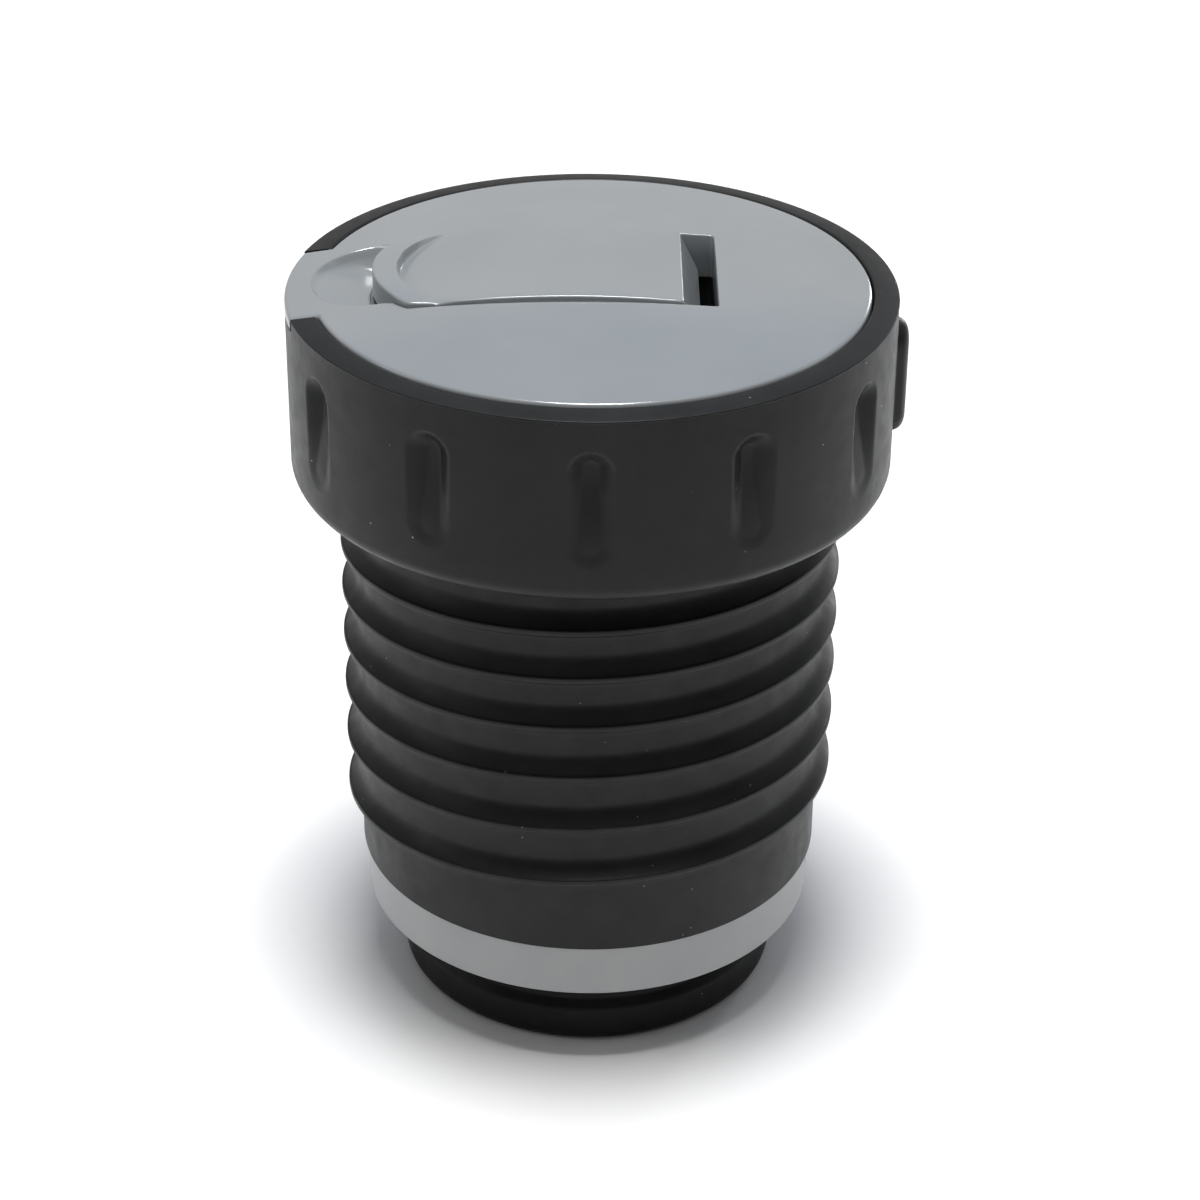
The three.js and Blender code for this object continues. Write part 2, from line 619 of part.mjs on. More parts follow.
function pullTab() {
  const heelTop = padHeight(TAB_HEEL_X) - HEEL_INSET;
  const heel = acrossTab([
    [TAB_HEEL_X - HEEL_LENGTH, HEEL_BOTTOM],
    [TAB_HEEL_X, HEEL_BOTTOM],
    [HEEL_NOSE_X, HEEL_NOSE_Z - HEEL_NOSE_HEIGHT],
    [HEEL_NOSE_X, HEEL_NOSE_Z],
    [TAB_HEEL_X, heelTop],
    [TAB_HEEL_X - HEEL_LENGTH, heelTop],
  ], TAB_HALF_WIDTH);
  const underPad = [[TAB_HEEL_X, TAB_BOTTOM - 1], [TAB_LIP_X, TAB_BOTTOM - 1]];
  for (let i = 0; i <= PAD_STEPS; i += 1) {
    const x = TAB_LIP_X + ((TAB_HEEL_X - TAB_LIP_X) * i) / PAD_STEPS;
    underPad.push([x, padHeight(x)]);
  }
  const blank = raised(tabOutline(0), TAB_BOTTOM, ABOVE_LID);
  const pad = blank.intersect(acrossTab(underPad.reverse(), TAB_HALF_WIDTH + 1));
  const lipBlank = raised(tabOutline(0), TAB_BOTTOM, TAB_LIP_TOP);
  const lip = lipBlank.subtract(blank.translate([TAB_LIP_WIDTH, 0, 0]));
  return pad.add(lip).add(heel).subtract(pinRod(PIN_RADIUS + GAP, TAB_HALF_WIDTH + 1));
}

add("press_lid", pressLid(), ...GREY_PLASTIC);
add("pull_tab", pullTab(), ...GREY_PLASTIC);
add("tab_hinge_pin", pinRod(PIN_RADIUS, TAB_HALF_WIDTH + GAP + CHEEK_WIDTH), ...STEEL);

// ---- Head plate ----
function headPlate() {
  let plate = turned([
    [SLEEVE_SPIGOT_RADIUS - SPIGOT_WALL, PLATE_NECK_BOTTOM],
    [SLEEVE_SPIGOT_RADIUS, PLATE_NECK_BOTTOM],
    [SLEEVE_SPIGOT_RADIUS, PLATE_BOTTOM],
    [PLATE_RADIUS, PLATE_BOTTOM],
    [PLATE_RADIUS, PLATE_RIM_TOP],
    [PLATE_RIM_INNER, PLATE_RIM_TOP],
    [PLATE_RIM_INNER, PLATE_TOP],
    [SLEEVE_SPIGOT_RADIUS - SPIGOT_WALL, PLATE_TOP],
  ]);
  plate = plate.add(disc(SLEEVE_SPIGOT_RADIUS, PLATE_BOTTOM, PLATE_TOP, 0, 0, ROUND_SEGMENTS));
  for (const [x, y] of BOSSES) {
    plate = plate.subtract(disc(SCREW_HOLE_RADIUS, PLATE_BOTTOM - 1, PLATE_TOP + 1, x, y, 8));
  }
  return plate;
}

add("head_plate", headPlate(), ...BLACK_PLASTIC);
BOSSES.forEach(([x, y], i) => {
  const headBottom = PLATE_BOTTOM - SCREW_HEAD_HEIGHT;
  add(`lid_screw_${i + 1}`, screw(x, y, headBottom, LID_BOTTOM - GAP), ...STEEL);
});

export default group;
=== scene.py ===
"""Bellows flush plunger of a portable toilet: grip collar, domed press lid with a flip-up tab,
rubber sleeve with one helical rib, pale valve base and rubber foot seal, with what works inside.
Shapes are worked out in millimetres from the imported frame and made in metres."""

import math

import bmesh
import bpy
import numpy as np
from mathutils import Matrix, Vector
from mathutils.geometry import delaunay_2d_cdt


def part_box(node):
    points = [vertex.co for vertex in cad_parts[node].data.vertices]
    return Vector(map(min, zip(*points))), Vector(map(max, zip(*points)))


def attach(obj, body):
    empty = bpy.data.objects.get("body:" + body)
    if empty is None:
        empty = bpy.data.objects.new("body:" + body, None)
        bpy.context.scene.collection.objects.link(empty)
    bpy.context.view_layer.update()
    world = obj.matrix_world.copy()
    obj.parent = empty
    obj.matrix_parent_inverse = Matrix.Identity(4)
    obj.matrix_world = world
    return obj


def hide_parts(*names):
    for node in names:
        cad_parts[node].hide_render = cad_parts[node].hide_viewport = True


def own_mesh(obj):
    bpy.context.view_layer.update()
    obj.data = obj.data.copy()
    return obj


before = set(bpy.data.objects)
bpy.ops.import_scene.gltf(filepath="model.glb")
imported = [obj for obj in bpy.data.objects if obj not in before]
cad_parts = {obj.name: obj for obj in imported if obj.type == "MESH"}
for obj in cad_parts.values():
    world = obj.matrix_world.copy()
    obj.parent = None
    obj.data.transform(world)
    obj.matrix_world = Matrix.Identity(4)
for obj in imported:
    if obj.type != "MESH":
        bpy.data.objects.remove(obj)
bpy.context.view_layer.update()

MM = 0.001
TAU = 2 * math.pi


# ---------------------------------------------------------------- frame values, millimetres
def span(node):
    """Lowest and highest corner of a CAD node, in millimetres."""
    low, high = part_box(node)
    return Vector(low) / MM, Vector(high) / MM


def radius_of(node):
    """Radius of a turned CAD node, in millimetres."""
    return span(node)[1].y


COLLAR_R = radius_of("grip_collar")
COLLAR_BOTTOM = span("grip_collar")[0].z
COLLAR_TOP = span("grip_collar")[1].z
LID_R = radius_of("press_lid")
TAB_LOW, TAB_HIGH = span("pull_tab")
SLEEVE_BOTTOM = span("bellows")[0].z
SLEEVE_TOP = span("bellows")[1].z
RIB_R = radius_of("bellows")
RING_R = radius_of("valve_base")
SPIGOT_TOP = span("valve_base")[1].z
SEAL_R = radius_of("foot_seal")
SEAL_TOP = span("foot_seal")[1].z
PLATE_R = radius_of("head_plate")
PLATE_BOTTOM_EDGE = span("head_plate")[0].z
RIM_TOP = span("head_plate")[1].z


# ---------------------------------------------------------------- mesh helpers
SHARP_ANGLE = math.radians(50)  # faces that meet at more than this keep a crisp edge
CLOSED_TURN = 0.8  # turns at each end of a spring that lie close together
CLOSED_PACE = 0.12  # how fast they climb, as a share of the free turns' climb


def tidy(mesh, distance=0.002 * MM):
    """Joins coincident vertices and turns the faces of each closed shell outwards."""
    work = bmesh.new()
    work.from_mesh(mesh)
    bmesh.ops.remove_doubles(work, verts=work.verts, dist=distance)
    bmesh.ops.dissolve_degenerate(work, edges=work.edges, dist=distance / 4)
    bmesh.ops.recalc_face_normals(work, faces=work.faces)
    work.to_mesh(mesh)
    work.free()


def new_object(name, verts, faces):
    """A mesh object from vertices in millimetres."""
    mesh = bpy.data.meshes.new(name)
    mesh.from_pydata([tuple(v) for v in np.asarray(verts, float) * MM], [], faces)
    tidy(mesh)
    made = bpy.data.objects.new(name, mesh)
    bpy.context.collection.objects.link(made)
    return made


def make(name, verts, faces, material, body, nodes=()):
    """A piece that rides on a body and stands for CAD nodes."""
    piece = new_object(name, verts, faces)
    piece.data.shade_smooth()
    piece.data.set_sharp_from_angle(angle=SHARP_ANGLE)
    piece.data.materials.append(material)
    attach(piece, body)
    if nodes:
        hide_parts(*nodes)
    return piece


def squash_along_z(piece):
    """Gives a piece its own copy of its mesh."""
    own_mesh(piece)


def weighted(piece):
    """Normals weighted by face area, so that flats stay flat between small fillets."""
    piece.modifiers.new("normals", "WEIGHTED_NORMAL").keep_sharp = True
    return piece


def rounded(corners, steps=5):
    """A closed [r, z] outline from (r, z, fillet) corners, with its corners turned into arcs."""
    outline = []
    for i, (r, z, fillet) in enumerate(corners):
        corner = Vector((r, z))
        if not fillet:
            outline.append(corner)
            continue
        back = (Vector(corners[i - 1][:2]) - corner).normalized()
        ahead = (Vector(corners[(i + 1) % len(corners)][:2]) - corner).normalized()
        half = back.angle(ahead) / 2
        reach = fillet / math.tan(half)
        centre = corner + (back + ahead).normalized() * fillet / math.sin(half)
        first, last = corner + back * reach - centre, corner + ahead * reach - centre
        turn = first.angle(last)
        for k in range(steps + 1):
            share = k / steps
            blend = first * math.sin((1 - share) * turn) + last * math.sin(share * turn)
            outline.append(centre + blend / math.sin(turn))
    return np.array([tuple(p) for p in outline])


def swept(outline_at, angles):
    """Vertices and quads of the ring that a closed [r, z] outline makes round the Z axis."""
    verts = []
    for angle in angles:
        outline = outline_at(angle)
        turn = outline[:, 2] if outline.shape[1] == 3 else angle
        x, y = outline[:, 0] * np.cos(turn), outline[:, 0] * np.sin(turn)
        verts.append(np.column_stack([x, y, outline[:, 1]]))
    rows, columns = len(verts[0]), len(angles)
    faces = []
    for i in range(columns):
        here, there = i * rows, (i + 1) % columns * rows
        for j in range(rows):
            up = (j + 1) % rows
            faces.append((here + j, there + j, there + up, here + up))
    return np.concatenate(verts), faces


def even_angles(count, start=0.0):
    """Angles of count places round a circle; start is in shares of the step between them."""
    return (np.arange(count) + start) * TAU / count


def lathe(corners, count=160, steps=5):
    """A turned ring from its closed outline."""
    outline = rounded(corners, steps)
    return swept(lambda angle: outline, even_angles(count))


def solid_lathe(corners, count=64, steps=4):
    """A turned piece that closes on the axis: the corners start and end on it."""
    outline = rounded(corners, steps)
    rows = len(outline)
    verts, faces = swept(lambda angle: outline, even_angles(count))
    keep = [f for i, f in enumerate(faces) if i % rows != rows - 1]
    return verts, keep


def moved(shape, dx, dy):
    """A shape shifted sideways."""
    verts, faces = shape
    return np.asarray(verts, float) + [dx, dy, 0], faces


def round_circle(shape, radius, angles):
    """Copies of a shape at angles round a circle, as one shape."""
    return joined(*[moved(shape, radius * math.cos(a), radius * math.sin(a)) for a in angles])


def joined(*shapes):
    """Several shapes as one."""
    verts, faces, count = [], [], 0
    for shape_verts, shape_faces in shapes:
        verts.append(np.asarray(shape_verts, float))
        faces += [tuple(i + count for i in f) for f in shape_faces]
        count += len(shape_verts)
    return np.concatenate(verts), faces


def block(low, high, bevel=0.3):
    """A box with bevelled edges."""
    work = bmesh.new()
    bmesh.ops.create_cube(work, size=1)
    centre = (np.array(low) + high) / 2
    size = np.array(high, float) - low
    for v in work.verts:
        v.co = Vector(np.array(v.co) * size + centre)
    bmesh.ops.bevel(work, geom=work.edges, offset=bevel, segments=3, profile=0.5, affect="EDGES")
    work.verts.index_update()
    shape = [tuple(v.co) for v in work.verts], [tuple(v.index for v in f.verts) for f in work.faces]
    work.free()
    return shape


def cut(piece, *shapes):
    """Cuts shapes out of a piece and keeps the result as its mesh, shaded smooth."""
    for verts, faces in shapes:
        tool = new_object("tool", verts, faces)
        modifier = piece.modifiers.new("cut", "BOOLEAN")
        modifier.operation = "DIFFERENCE"
        modifier.solver = "EXACT"
        modifier.object = tool
        bpy.context.view_layer.update()
        graph = bpy.context.evaluated_depsgraph_get()
        result = bpy.data.meshes.new_from_object(piece.evaluated_get(graph))
        piece.modifiers.remove(modifier)
        result.name = piece.data.name
        piece.data = result
        bpy.data.objects.remove(tool)
    piece.data.shade_smooth()


def helix_wire(radius, wire, bottom, top, turns, steps, sides):
    """A coil spring whose end turns lie close together, as wire of round section."""
    count = int(turns * steps)
    share = np.linspace(0, 1, count + 1)
    angle = TAU * turns * share
    closed = CLOSED_TURN / turns
    pace = np.clip(np.minimum(share, 1 - share) / closed, CLOSED_PACE, 1)
    climb = np.concatenate([[0], np.cumsum((pace[1:] + pace[:-1]) / 2)])
    z = bottom + wire + (top - bottom - 2 * wire) * climb / climb[-1]
    verts, faces = [], []
    for a, height in zip(angle, z):
        for k in range(sides):
            turn = TAU * k / sides
            r = radius + wire * math.cos(turn)
            verts.append((r * math.cos(a), r * math.sin(a), height + wire * math.sin(turn)))
    for i in range(count):
        for k in range(sides):
            nxt = (k + 1) % sides
            faces.append((i * sides + k, i * sides + nxt, (i + 1) * sides + nxt, (i + 1) * sides + k))
    faces.append(tuple(range(sides))[::-1])
    faces.append(tuple(count * sides + k for k in range(sides)))
    return verts, faces


def smoothstep(low, high, value):
    """0 to 1 as value goes from low to high, with a soft start and end."""
    t = np.clip((value - low) / (high - low), 0, 1)
    return t * t * (3 - 2 * t)


# ---------------------------------------------------------------- materials
class Look:
    """A Principled material and the few nodes that give it its grain, tone and wear."""

    def __init__(self, name, **values):
        self.material = bpy.data.materials.new(name)
        self.material["slot"] = name
        self.material.use_nodes = True
        self.tree = self.material.node_tree
        self.shader = self.tree.nodes["Principled BSDF"]
        self.place = self.tree.nodes.new("ShaderNodeTexCoord").outputs["Object"]
        for socket, value in values.items():
            self.shader.inputs[socket.replace("_", " ")].default_value = value

    def node(self, kind, inputs=None, **settings):
        made = self.tree.nodes.new("ShaderNode" + kind)
        for key, value in settings.items():
            setattr(made, key, value)
        for key, value in (inputs or {}).items():
            if isinstance(value, bpy.types.NodeSocket):
                self.tree.links.new(value, made.inputs[key])
            else:
                made.inputs[key].default_value = value
        return made

    def noise(self, size_mm, detail=3, roughness=0.5, stretch=(1, 1, 1)):
        """Noise whose features are about size_mm across."""
        place = self.node("Mapping", {"Vector": self.place, "Scale": stretch}).outputs["Vector"]
        inputs = {"Vector": place, "Scale": 1 / (size_mm * MM), "Detail": detail}
        inputs["Roughness"] = roughness
        return self.node("TexNoise", inputs).outputs["Fac"]

    def remap(self, value, low, high, out_low, out_high):
        names = ("From Min", "From Max", "To Min", "To Max")
        inputs = dict(zip(names, (low, high, out_low, out_high)))
        return self.node("MapRange", {"Value": value, **inputs}).outputs["Result"]

    def blend(self, share, first, second):
        made = self.node("Mix", {0: share}, data_type="RGBA")
        for socket, colour in ((6, first), (7, second)):
            if isinstance(colour, bpy.types.NodeSocket):
                self.tree.links.new(colour, made.inputs[socket])
            else:
                made.inputs[socket].default_value = (*colour, 1)
        return made.outputs[2]

    def bump(self, height, depth_mm, normal=None):
        inputs = {"Height": height, "Distance": depth_mm * MM, "Strength": 1.0}
        if normal is not None:
            inputs["Normal"] = normal
        return self.node("Bump", inputs).outputs["Normal"]

    def into(self, socket, value):
        self.tree.links.new(value, self.shader.inputs[socket])


def specks(look, size_mm, share):
    """1 in tiny sparse spots, 0 elsewhere: dust and pinhole scuffs."""
    inputs = {"Vector": look.place, "Scale": 1 / (size_mm * 6 * MM)}
    cells = look.node("TexVoronoi", inputs)
    near = look.remap(cells.outputs["Distance"], 0.05, 0.11, 1, 0)
    chosen = look.node("SeparateColor", {"Color": cells.outputs["Color"]}).outputs["Red"]
    kept = look.remap(chosen, 1 - share, 1 - share + 0.01, 0, 1)
    product = look.node("Math", {0: near, 1: kept}, operation="MULTIPLY", use_clamp=True)
    return product.outputs["Value"]


def collar_plastic():
    """Satin black moulded plastic with a fine grain and a little dust."""
    look = Look("collar_plastic", IOR=1.5, Specular_IOR_Level=0.2)
    cloud = look.noise(14, 4)
    grain = look.noise(0.35, 2)
    share = look.remap(cloud, 0.3, 0.7, 0, 1)
    tone = look.blend(share, (0.0095, 0.0095, 0.0095), (0.014, 0.014, 0.0138))
    dust = specks(look, 0.28, 0.06)
    look.into("Base Color", look.blend(dust, tone, (0.32, 0.31, 0.29)))
    look.into("Roughness", look.remap(look.noise(3, 4), 0.3, 0.7, 0.36, 0.46))
    look.into("Normal", look.bump(grain, 0.012))
    return look.material


def rubber(light=1.0):
    """Matt black rubber with pale bloom; light scales its tone and shine, and a value below 1 darkens
    both as painted shade.
    """
    look = Look("black_rubber", IOR=1.48, Specular_IOR_Level=0.25 * light)
    cloud = look.noise(9, 4)
    dark, pale = (0.009 * light,) * 3, (0.014 * light, 0.0138 * light, 0.0135 * light)
    tone = look.blend(look.remap(cloud, 0.32, 0.68, 0, 1), dark, pale)
    bloom = look.remap(look.noise(2.2, 5, 0.6, (1, 1, 2.2)), 0.58, 0.8, 0, 0.25)
    tone = look.blend(bloom, tone, (0.024 * light, 0.0237 * light, 0.023 * light))
    dust = specks(look, 0.22, 0.04)
    look.into("Base Color", look.blend(dust, tone, (0.25, 0.24, 0.22)))
    look.into("Roughness", look.remap(look.noise(4, 4), 0.3, 0.7, 0.4, 0.52))
    fine = look.bump(look.noise(0.3, 2), 0.01)
    look.into("Normal", look.bump(look.noise(3.5, 3), 0.03, fine))
    return look.material


def grey_plastic():
    """Glossy cool grey plastic, a little wavy, with a thin clear coat."""
    look = Look("grey_plastic", IOR=1.5, Coat_Weight=0.25, Coat_Roughness=0.06)
    cloud = look.noise(22, 3)
    share = look.remap(cloud, 0.3, 0.7, 0, 1)
    tone = look.blend(share, (0.196, 0.21, 0.219), (0.214, 0.228, 0.237))
    dust = specks(look, 0.2, 0.03)
    look.into("Base Color", look.blend(dust, tone, (0.24, 0.235, 0.22)))
    look.into("Roughness", look.remap(look.noise(6, 5), 0.3, 0.7, 0.16, 0.26))
    waves = look.bump(look.noise(9, 2), 0.02)
    look.into("Normal", look.bump(look.noise(0.5, 2), 0.0015, waves))
    return look.material


def pale_plastic():
    """Smooth pale plastic with a faint grain."""
    look = Look("pale_plastic", IOR=1.49)
    cloud = look.noise(12, 4)
    share = look.remap(cloud, 0.3, 0.7, 0, 1)
    look.into("Base Color", look.blend(share, (0.32, 0.33, 0.336), (0.36, 0.366, 0.364)))
    look.into("Roughness", look.remap(look.noise(4, 4), 0.3, 0.7, 0.285, 0.33))
    look.into("Normal", look.bump(look.noise(0.6, 3), 0.006))
    return look.material


def steel():
    """Bright drawn steel."""
    look = Look("spring_steel", Metallic=1.0)
    share = look.remap(look.noise(5, 4), 0.3, 0.7, 0, 1)
    look.into("Base Color", look.blend(share, (0.5, 0.5, 0.5), (0.66, 0.66, 0.65)))
    brushed = (1, 1, 6)
    look.into("Roughness", look.remap(look.noise(1.2, 3, 0.5, brushed), 0.3, 0.7, 0.2, 0.4))
    look.into("Normal", look.bump(look.noise(0.4, 2, 0.5, brushed), 0.002))
    return look.material


COLLAR_PLASTIC = collar_plastic()
RUBBER = rubber()
# a darker copy of the rubber for the foot seal: painted shade, since the seal sits in shade under the
# base ring
PAINTED_SHADE_SEAL_RUBBER = rubber(0.6)
GREY_PLASTIC = grey_plastic()
PALE_PLASTIC = pale_plastic()
STEEL = steel()


# ---------------------------------------------------------------- grip collar
GRIPS = 12
GRIP_PITCH = TAU / GRIPS
GRIP_HALF_WIDTH = 3.75
GRIP_DEPTH = 2.2
GRIP_WALL = 2.7  # width of the groove's sloping wall
GRIP_FOOT_WALL = 2.0  # the same at its foot
GRIP_FOOT_SHARE = 0.12  # share of the groove's depth that is left at its foot
GRIP_BOTTOM = COLLAR_BOTTOM + 6.6
GRIP_TOP = COLLAR_BOTTOM + 26
GRIP_RAMP = 17  # the groove runs out towards its foot over this length
GRIP_MARGIN = 0.1  # the groove's edge is this much wider than its outline
SEAM_ANGLE = 1.5 * math.pi  # the moulding seam's nib, at the front
SEAM_HALF = 0.0015
SEAM_STEP = 0.004
SEAM_ROWS = 6
SEAM_PROUD = 0.07
LUG_PROUD = span("grip_collar")[1].x - COLLAR_R
SKIRT_INNER = 45.4
MOUTH_R = LID_R + 0.3
FLANGE_R = 42.0
FLANGE_BOTTOM = RIM_TOP + 0.3
FLANGE_TOP = FLANGE_BOTTOM + 3
TONGUE_HALF = 13.3
NOTCH_HALF = TONGUE_HALF + 0.3
NOTCH_FLOOR = 123.4
NOTCH_EDGE = math.asin(NOTCH_HALF / COLLAR_R)  # angle from the tongue's middle to the notch's side
NOTCH_BLEND = 3 * NOTCH_EDGE  # columns shift sideways within this angle
BAND_EDGE_Z = COLLAR_TOP - 0.6  # outer edge of the bevelled band round the mouth


def grip_distance(angle, z, grip_angle):
    """Distance on the collar's wall from the spine of one grip."""
    low, high = GRIP_BOTTOM + GRIP_HALF_WIDTH, GRIP_TOP - GRIP_HALF_WIDTH
    sideways = COLLAR_R * ((angle - grip_angle + math.pi) % TAU - math.pi)
    return np.hypot(sideways, z - np.clip(z, low, high))


def wall_relief(angle, z):
    """How far the collar's wall stands out of its cylinder: grooves, and the lug at +X."""
    nearest = round(angle / GRIP_PITCH)
    distance = grip_distance(angle, z, nearest * GRIP_PITCH)
    if nearest % GRIPS == 0:
        inside = np.clip(distance / GRIP_HALF_WIDTH, 0, 1)
        return LUG_PROUD * np.sqrt(1 - inside**3)
    up = smoothstep(GRIP_BOTTOM, GRIP_BOTTOM + GRIP_RAMP, z)
    wall = GRIP_FOOT_WALL + (GRIP_WALL - GRIP_FOOT_WALL) * up
    slope = np.clip((GRIP_HALF_WIDTH + GRIP_MARGIN - distance) / wall, 0, 1)
    softened = 0.7 * slope + 0.3 * smoothstep(0, 1, slope)
    return -GRIP_DEPTH * softened * (GRIP_FOOT_SHARE + (1 - GRIP_FOOT_SHARE) * up)


def collar_angles():
    """Columns of the collar: close together over each grip, wide apart between."""
    reach = (GRIP_HALF_WIDTH + 0.5) / COLLAR_R
    over = np.linspace(-reach, reach, 33)
    between = np.linspace(reach, GRIP_PITCH - reach, 8)[1:-1]
    section = np.concatenate([over, between])
    angles = np.concatenate([i * GRIP_PITCH + section for i in range(GRIPS)])
    steps = (-0.0003, 0.0003)  # the notch's sides are upright between two close columns
    notch = [math.pi + side * (NOTCH_EDGE + step) for side in (-1, 1) for step in steps]
    seam = [SEAM_ANGLE + step for step in (-SEAM_STEP, -SEAM_HALF, SEAM_HALF, SEAM_STEP)]
    return np.unique(np.round(np.concatenate([angles % TAU, notch, seam]), 6))


def collar_outline():
    """The collar's section, and where the rows of its outer wall start and how many there are."""
    foot_z = np.linspace(GRIP_BOTTOM - 0.3, GRIP_BOTTOM + 1.5, 18)
    wall_z = np.concatenate([foot_z[:-1], np.linspace(foot_z[-1], GRIP_TOP + 0.4, 70)])
    lower = rounded([
        (SKIRT_INNER, FLANGE_BOTTOM, 0),
        (SKIRT_INNER, COLLAR_BOTTOM, 0.5),
        (COLLAR_R, COLLAR_BOTTOM, 3.1),
        (COLLAR_R, wall_z[0], 0),
    ], 8)
    upper = rounded([
        (COLLAR_R, wall_z[-1], 0),
        (COLLAR_R - 0.12, BAND_EDGE_Z - 0.35, 0.1),
        (COLLAR_R, BAND_EDGE_Z - 0.22, 0.1),
        (COLLAR_R - 0.06, BAND_EDGE_Z + 0.01, 0.14),
        (MOUTH_R, COLLAR_TOP, 0.45),
        (MOUTH_R, FLANGE_TOP, 0.3),
        (FLANGE_R, FLANGE_TOP, 0.3),
        (FLANGE_R, FLANGE_BOTTOM, 0.3),
        (SKIRT_INNER, FLANGE_BOTTOM, 0),
    ], 4)[1:-1]
    wall = np.column_stack([np.full(len(wall_z), COLLAR_R), wall_z])
    return np.concatenate([lower[:-1], wall, upper]), len(lower) - 1, len(wall)


def collar_shape():
    outline, first, count = collar_outline()
    wall = slice(first, first + count)
    nib = slice(first + count - SEAM_ROWS, first + count)
    over_notch = outline[:, 1] > FLANGE_TOP - 0.35

    def outline_at(angle):
        made = np.column_stack([outline, np.full(len(outline), angle)])
        made[wall, 0] += wall_relief(angle, outline[wall, 1])
        if abs(angle - SEAM_ANGLE) < SEAM_HALF + 0.0001:
            made[nib, 0] += SEAM_PROUD
        off = angle - math.pi
        if abs(off) < NOTCH_BLEND:
            # the notch's sides run parallel, so its inner corners lie at a wider angle
            inner = np.arcsin(np.clip(NOTCH_HALF / made[:, 0], 0, 1)) - NOTCH_EDGE
            share = np.interp(abs(off), [0, NOTCH_EDGE, NOTCH_BLEND], [0, 1, 0])
            made[:, 2] += np.where(over_notch, inner * share * np.sign(off), 0)
        if abs(off) < NOTCH_EDGE:
            floor = np.where(made[:, 0] > MOUTH_R - 0.01, NOTCH_FLOOR, FLANGE_TOP)
            made[:, 1] = np.minimum(made[:, 1], floor)
        return made

    return swept(outline_at, collar_angles())


make("grip_collar_shell", *collar_shape(), COLLAR_PLASTIC, "head", ["grip_collar"])


# ---------------------------------------------------------------- press lid and pull tab
LID_BOTTOM = FLANGE_TOP + 0.3
LID_EDGE_TOP = COLLAR_TOP + 0.1
DOME_RISE = 3.5
TONGUE_R = -span("press_lid")[0].x
TAB_HALF = TAB_HIGH.y
TAB_LIP_X = TAB_LOW.x
TAB_LIP_SAGITTA = 6.5
TAB_LIP_TOP = 129.2
TAB_END_X = 14.3
TAB_UNDERSIDE = 125.0
LIP_WIDTH = 4.0
PAD_CROWN_X = -2.0
PAD_CROWN_Z = TAB_HIGH.z
PAD_ARCH_DIAMETER = 360.0
POCKET_GAP = 0.3
POCKET_FLOOR = TAB_UNDERSIDE - POCKET_GAP
SLOT_START_X = 3.8
SLOT_END_X = 19.7
EDGE_FILLET = 0.6
POCKET_FILLET = 0.3
TAB_FILLET = 0.4
SCOOP_MOUTH_X = -34.5  # the scoop's outline is half an ellipse up to here, and straight after it
SCOOP_LENGTH = 10.6
SCOOP_HALF = 11.8
SCOOP_WALL_SLOPE = 1.5
SCOOP_FLOOR_SLOPE = 0.34
SCOOP_FOLD = 1.1  # softness of the fold between the scoop's wall and its floor
SCOOP_START_DEPTH = 0.35
SCOOP_RIM = 0.06  # width of the scoop's soft rim, as a share of its size
SCOOP_END_X = TAB_LIP_X + 8
SCOOP_FADE = (9, 2)  # under the tab the scoop fades out between these distances from the lip
LIP_CROWN = 0.0035  # how fast the lip falls towards the tab's sides
PAD_DIP = 0.25  # the pad sinks by this much next to the lip


def dome(x, y):
    """Height of the lid's crowned face."""
    return LID_EDGE_TOP + DOME_RISE * (1 - (x * x + y * y) / LID_R**2)


def arc(cx, cy, radius, start, end, spacing):
    """Points along an arc, about spacing apart, with both ends."""
    count = max(2, int(abs(end - start) * radius / spacing))
    return [
        (cx + radius * math.cos(a), cy + radius * math.sin(a))
        for a in np.linspace(start, end, count + 1)
    ]


def line(start, end, spacing):
    """Points along a straight line, about spacing apart, with both ends."""
    count = max(1, int(math.dist(start, end) / spacing))
    return [tuple(np.array(start) + (np.array(end) - start) * k / count) for k in range(count + 1)]


def lip_circle(grow):
    """Centre x, radius and half sweep of the arc that ends the tab's outline, grown by grow."""
    radius = (TAB_HALF**2 + TAB_LIP_SAGITTA**2) / (2 * TAB_LIP_SAGITTA)
    half = TAB_HALF + grow
    return TAB_LIP_X + radius, radius + grow, math.asin(half / (radius + grow))


def tab_loop(grow, end_x, spacing=0.7, corner=0.6):
    """The tab's outline, anticlockwise, grown outwards by grow, with its far end at end_x."""
    half = TAB_HALF + grow
    cx, radius, sweep = lip_circle(grow)
    loop = arc(cx, 0, radius, math.pi - sweep, math.pi + sweep, spacing)
    loop += line(loop[-1], (end_x - corner, -half), spacing)[1:]
    loop += arc(end_x - corner, -half + corner, corner, -math.pi / 2, 0, 0.2)[1:]
    loop += line((end_x, -half + corner), (end_x, half - corner), spacing)[1:]
    loop += arc(end_x - corner, half - corner, corner, 0, math.pi / 2, 0.2)[1:]
    loop += line((end_x - corner, half), loop[0], spacing)[1:-1]
    return loop


def lid_loop(shrink, spacing=0.8):
    """The lid's outline with its tongue, anticlockwise, shrunk inwards by shrink."""
    inner, outer, half = LID_R - shrink, TONGUE_R - shrink, TONGUE_HALF - shrink
    at_inner, at_outer = math.asin(half / inner), math.asin(half / outer)
    loop = arc(0, 0, inner, -math.pi + at_inner, math.pi - at_inner, spacing)
    tip = arc(0, 0, outer, math.pi - at_outer, math.pi + at_outer, spacing)
    loop += line(loop[-1], tip[0], spacing)[1:]
    loop += tip[1:]
    loop += line(tip[-1], loop[0], spacing)[1:-1]
    return loop


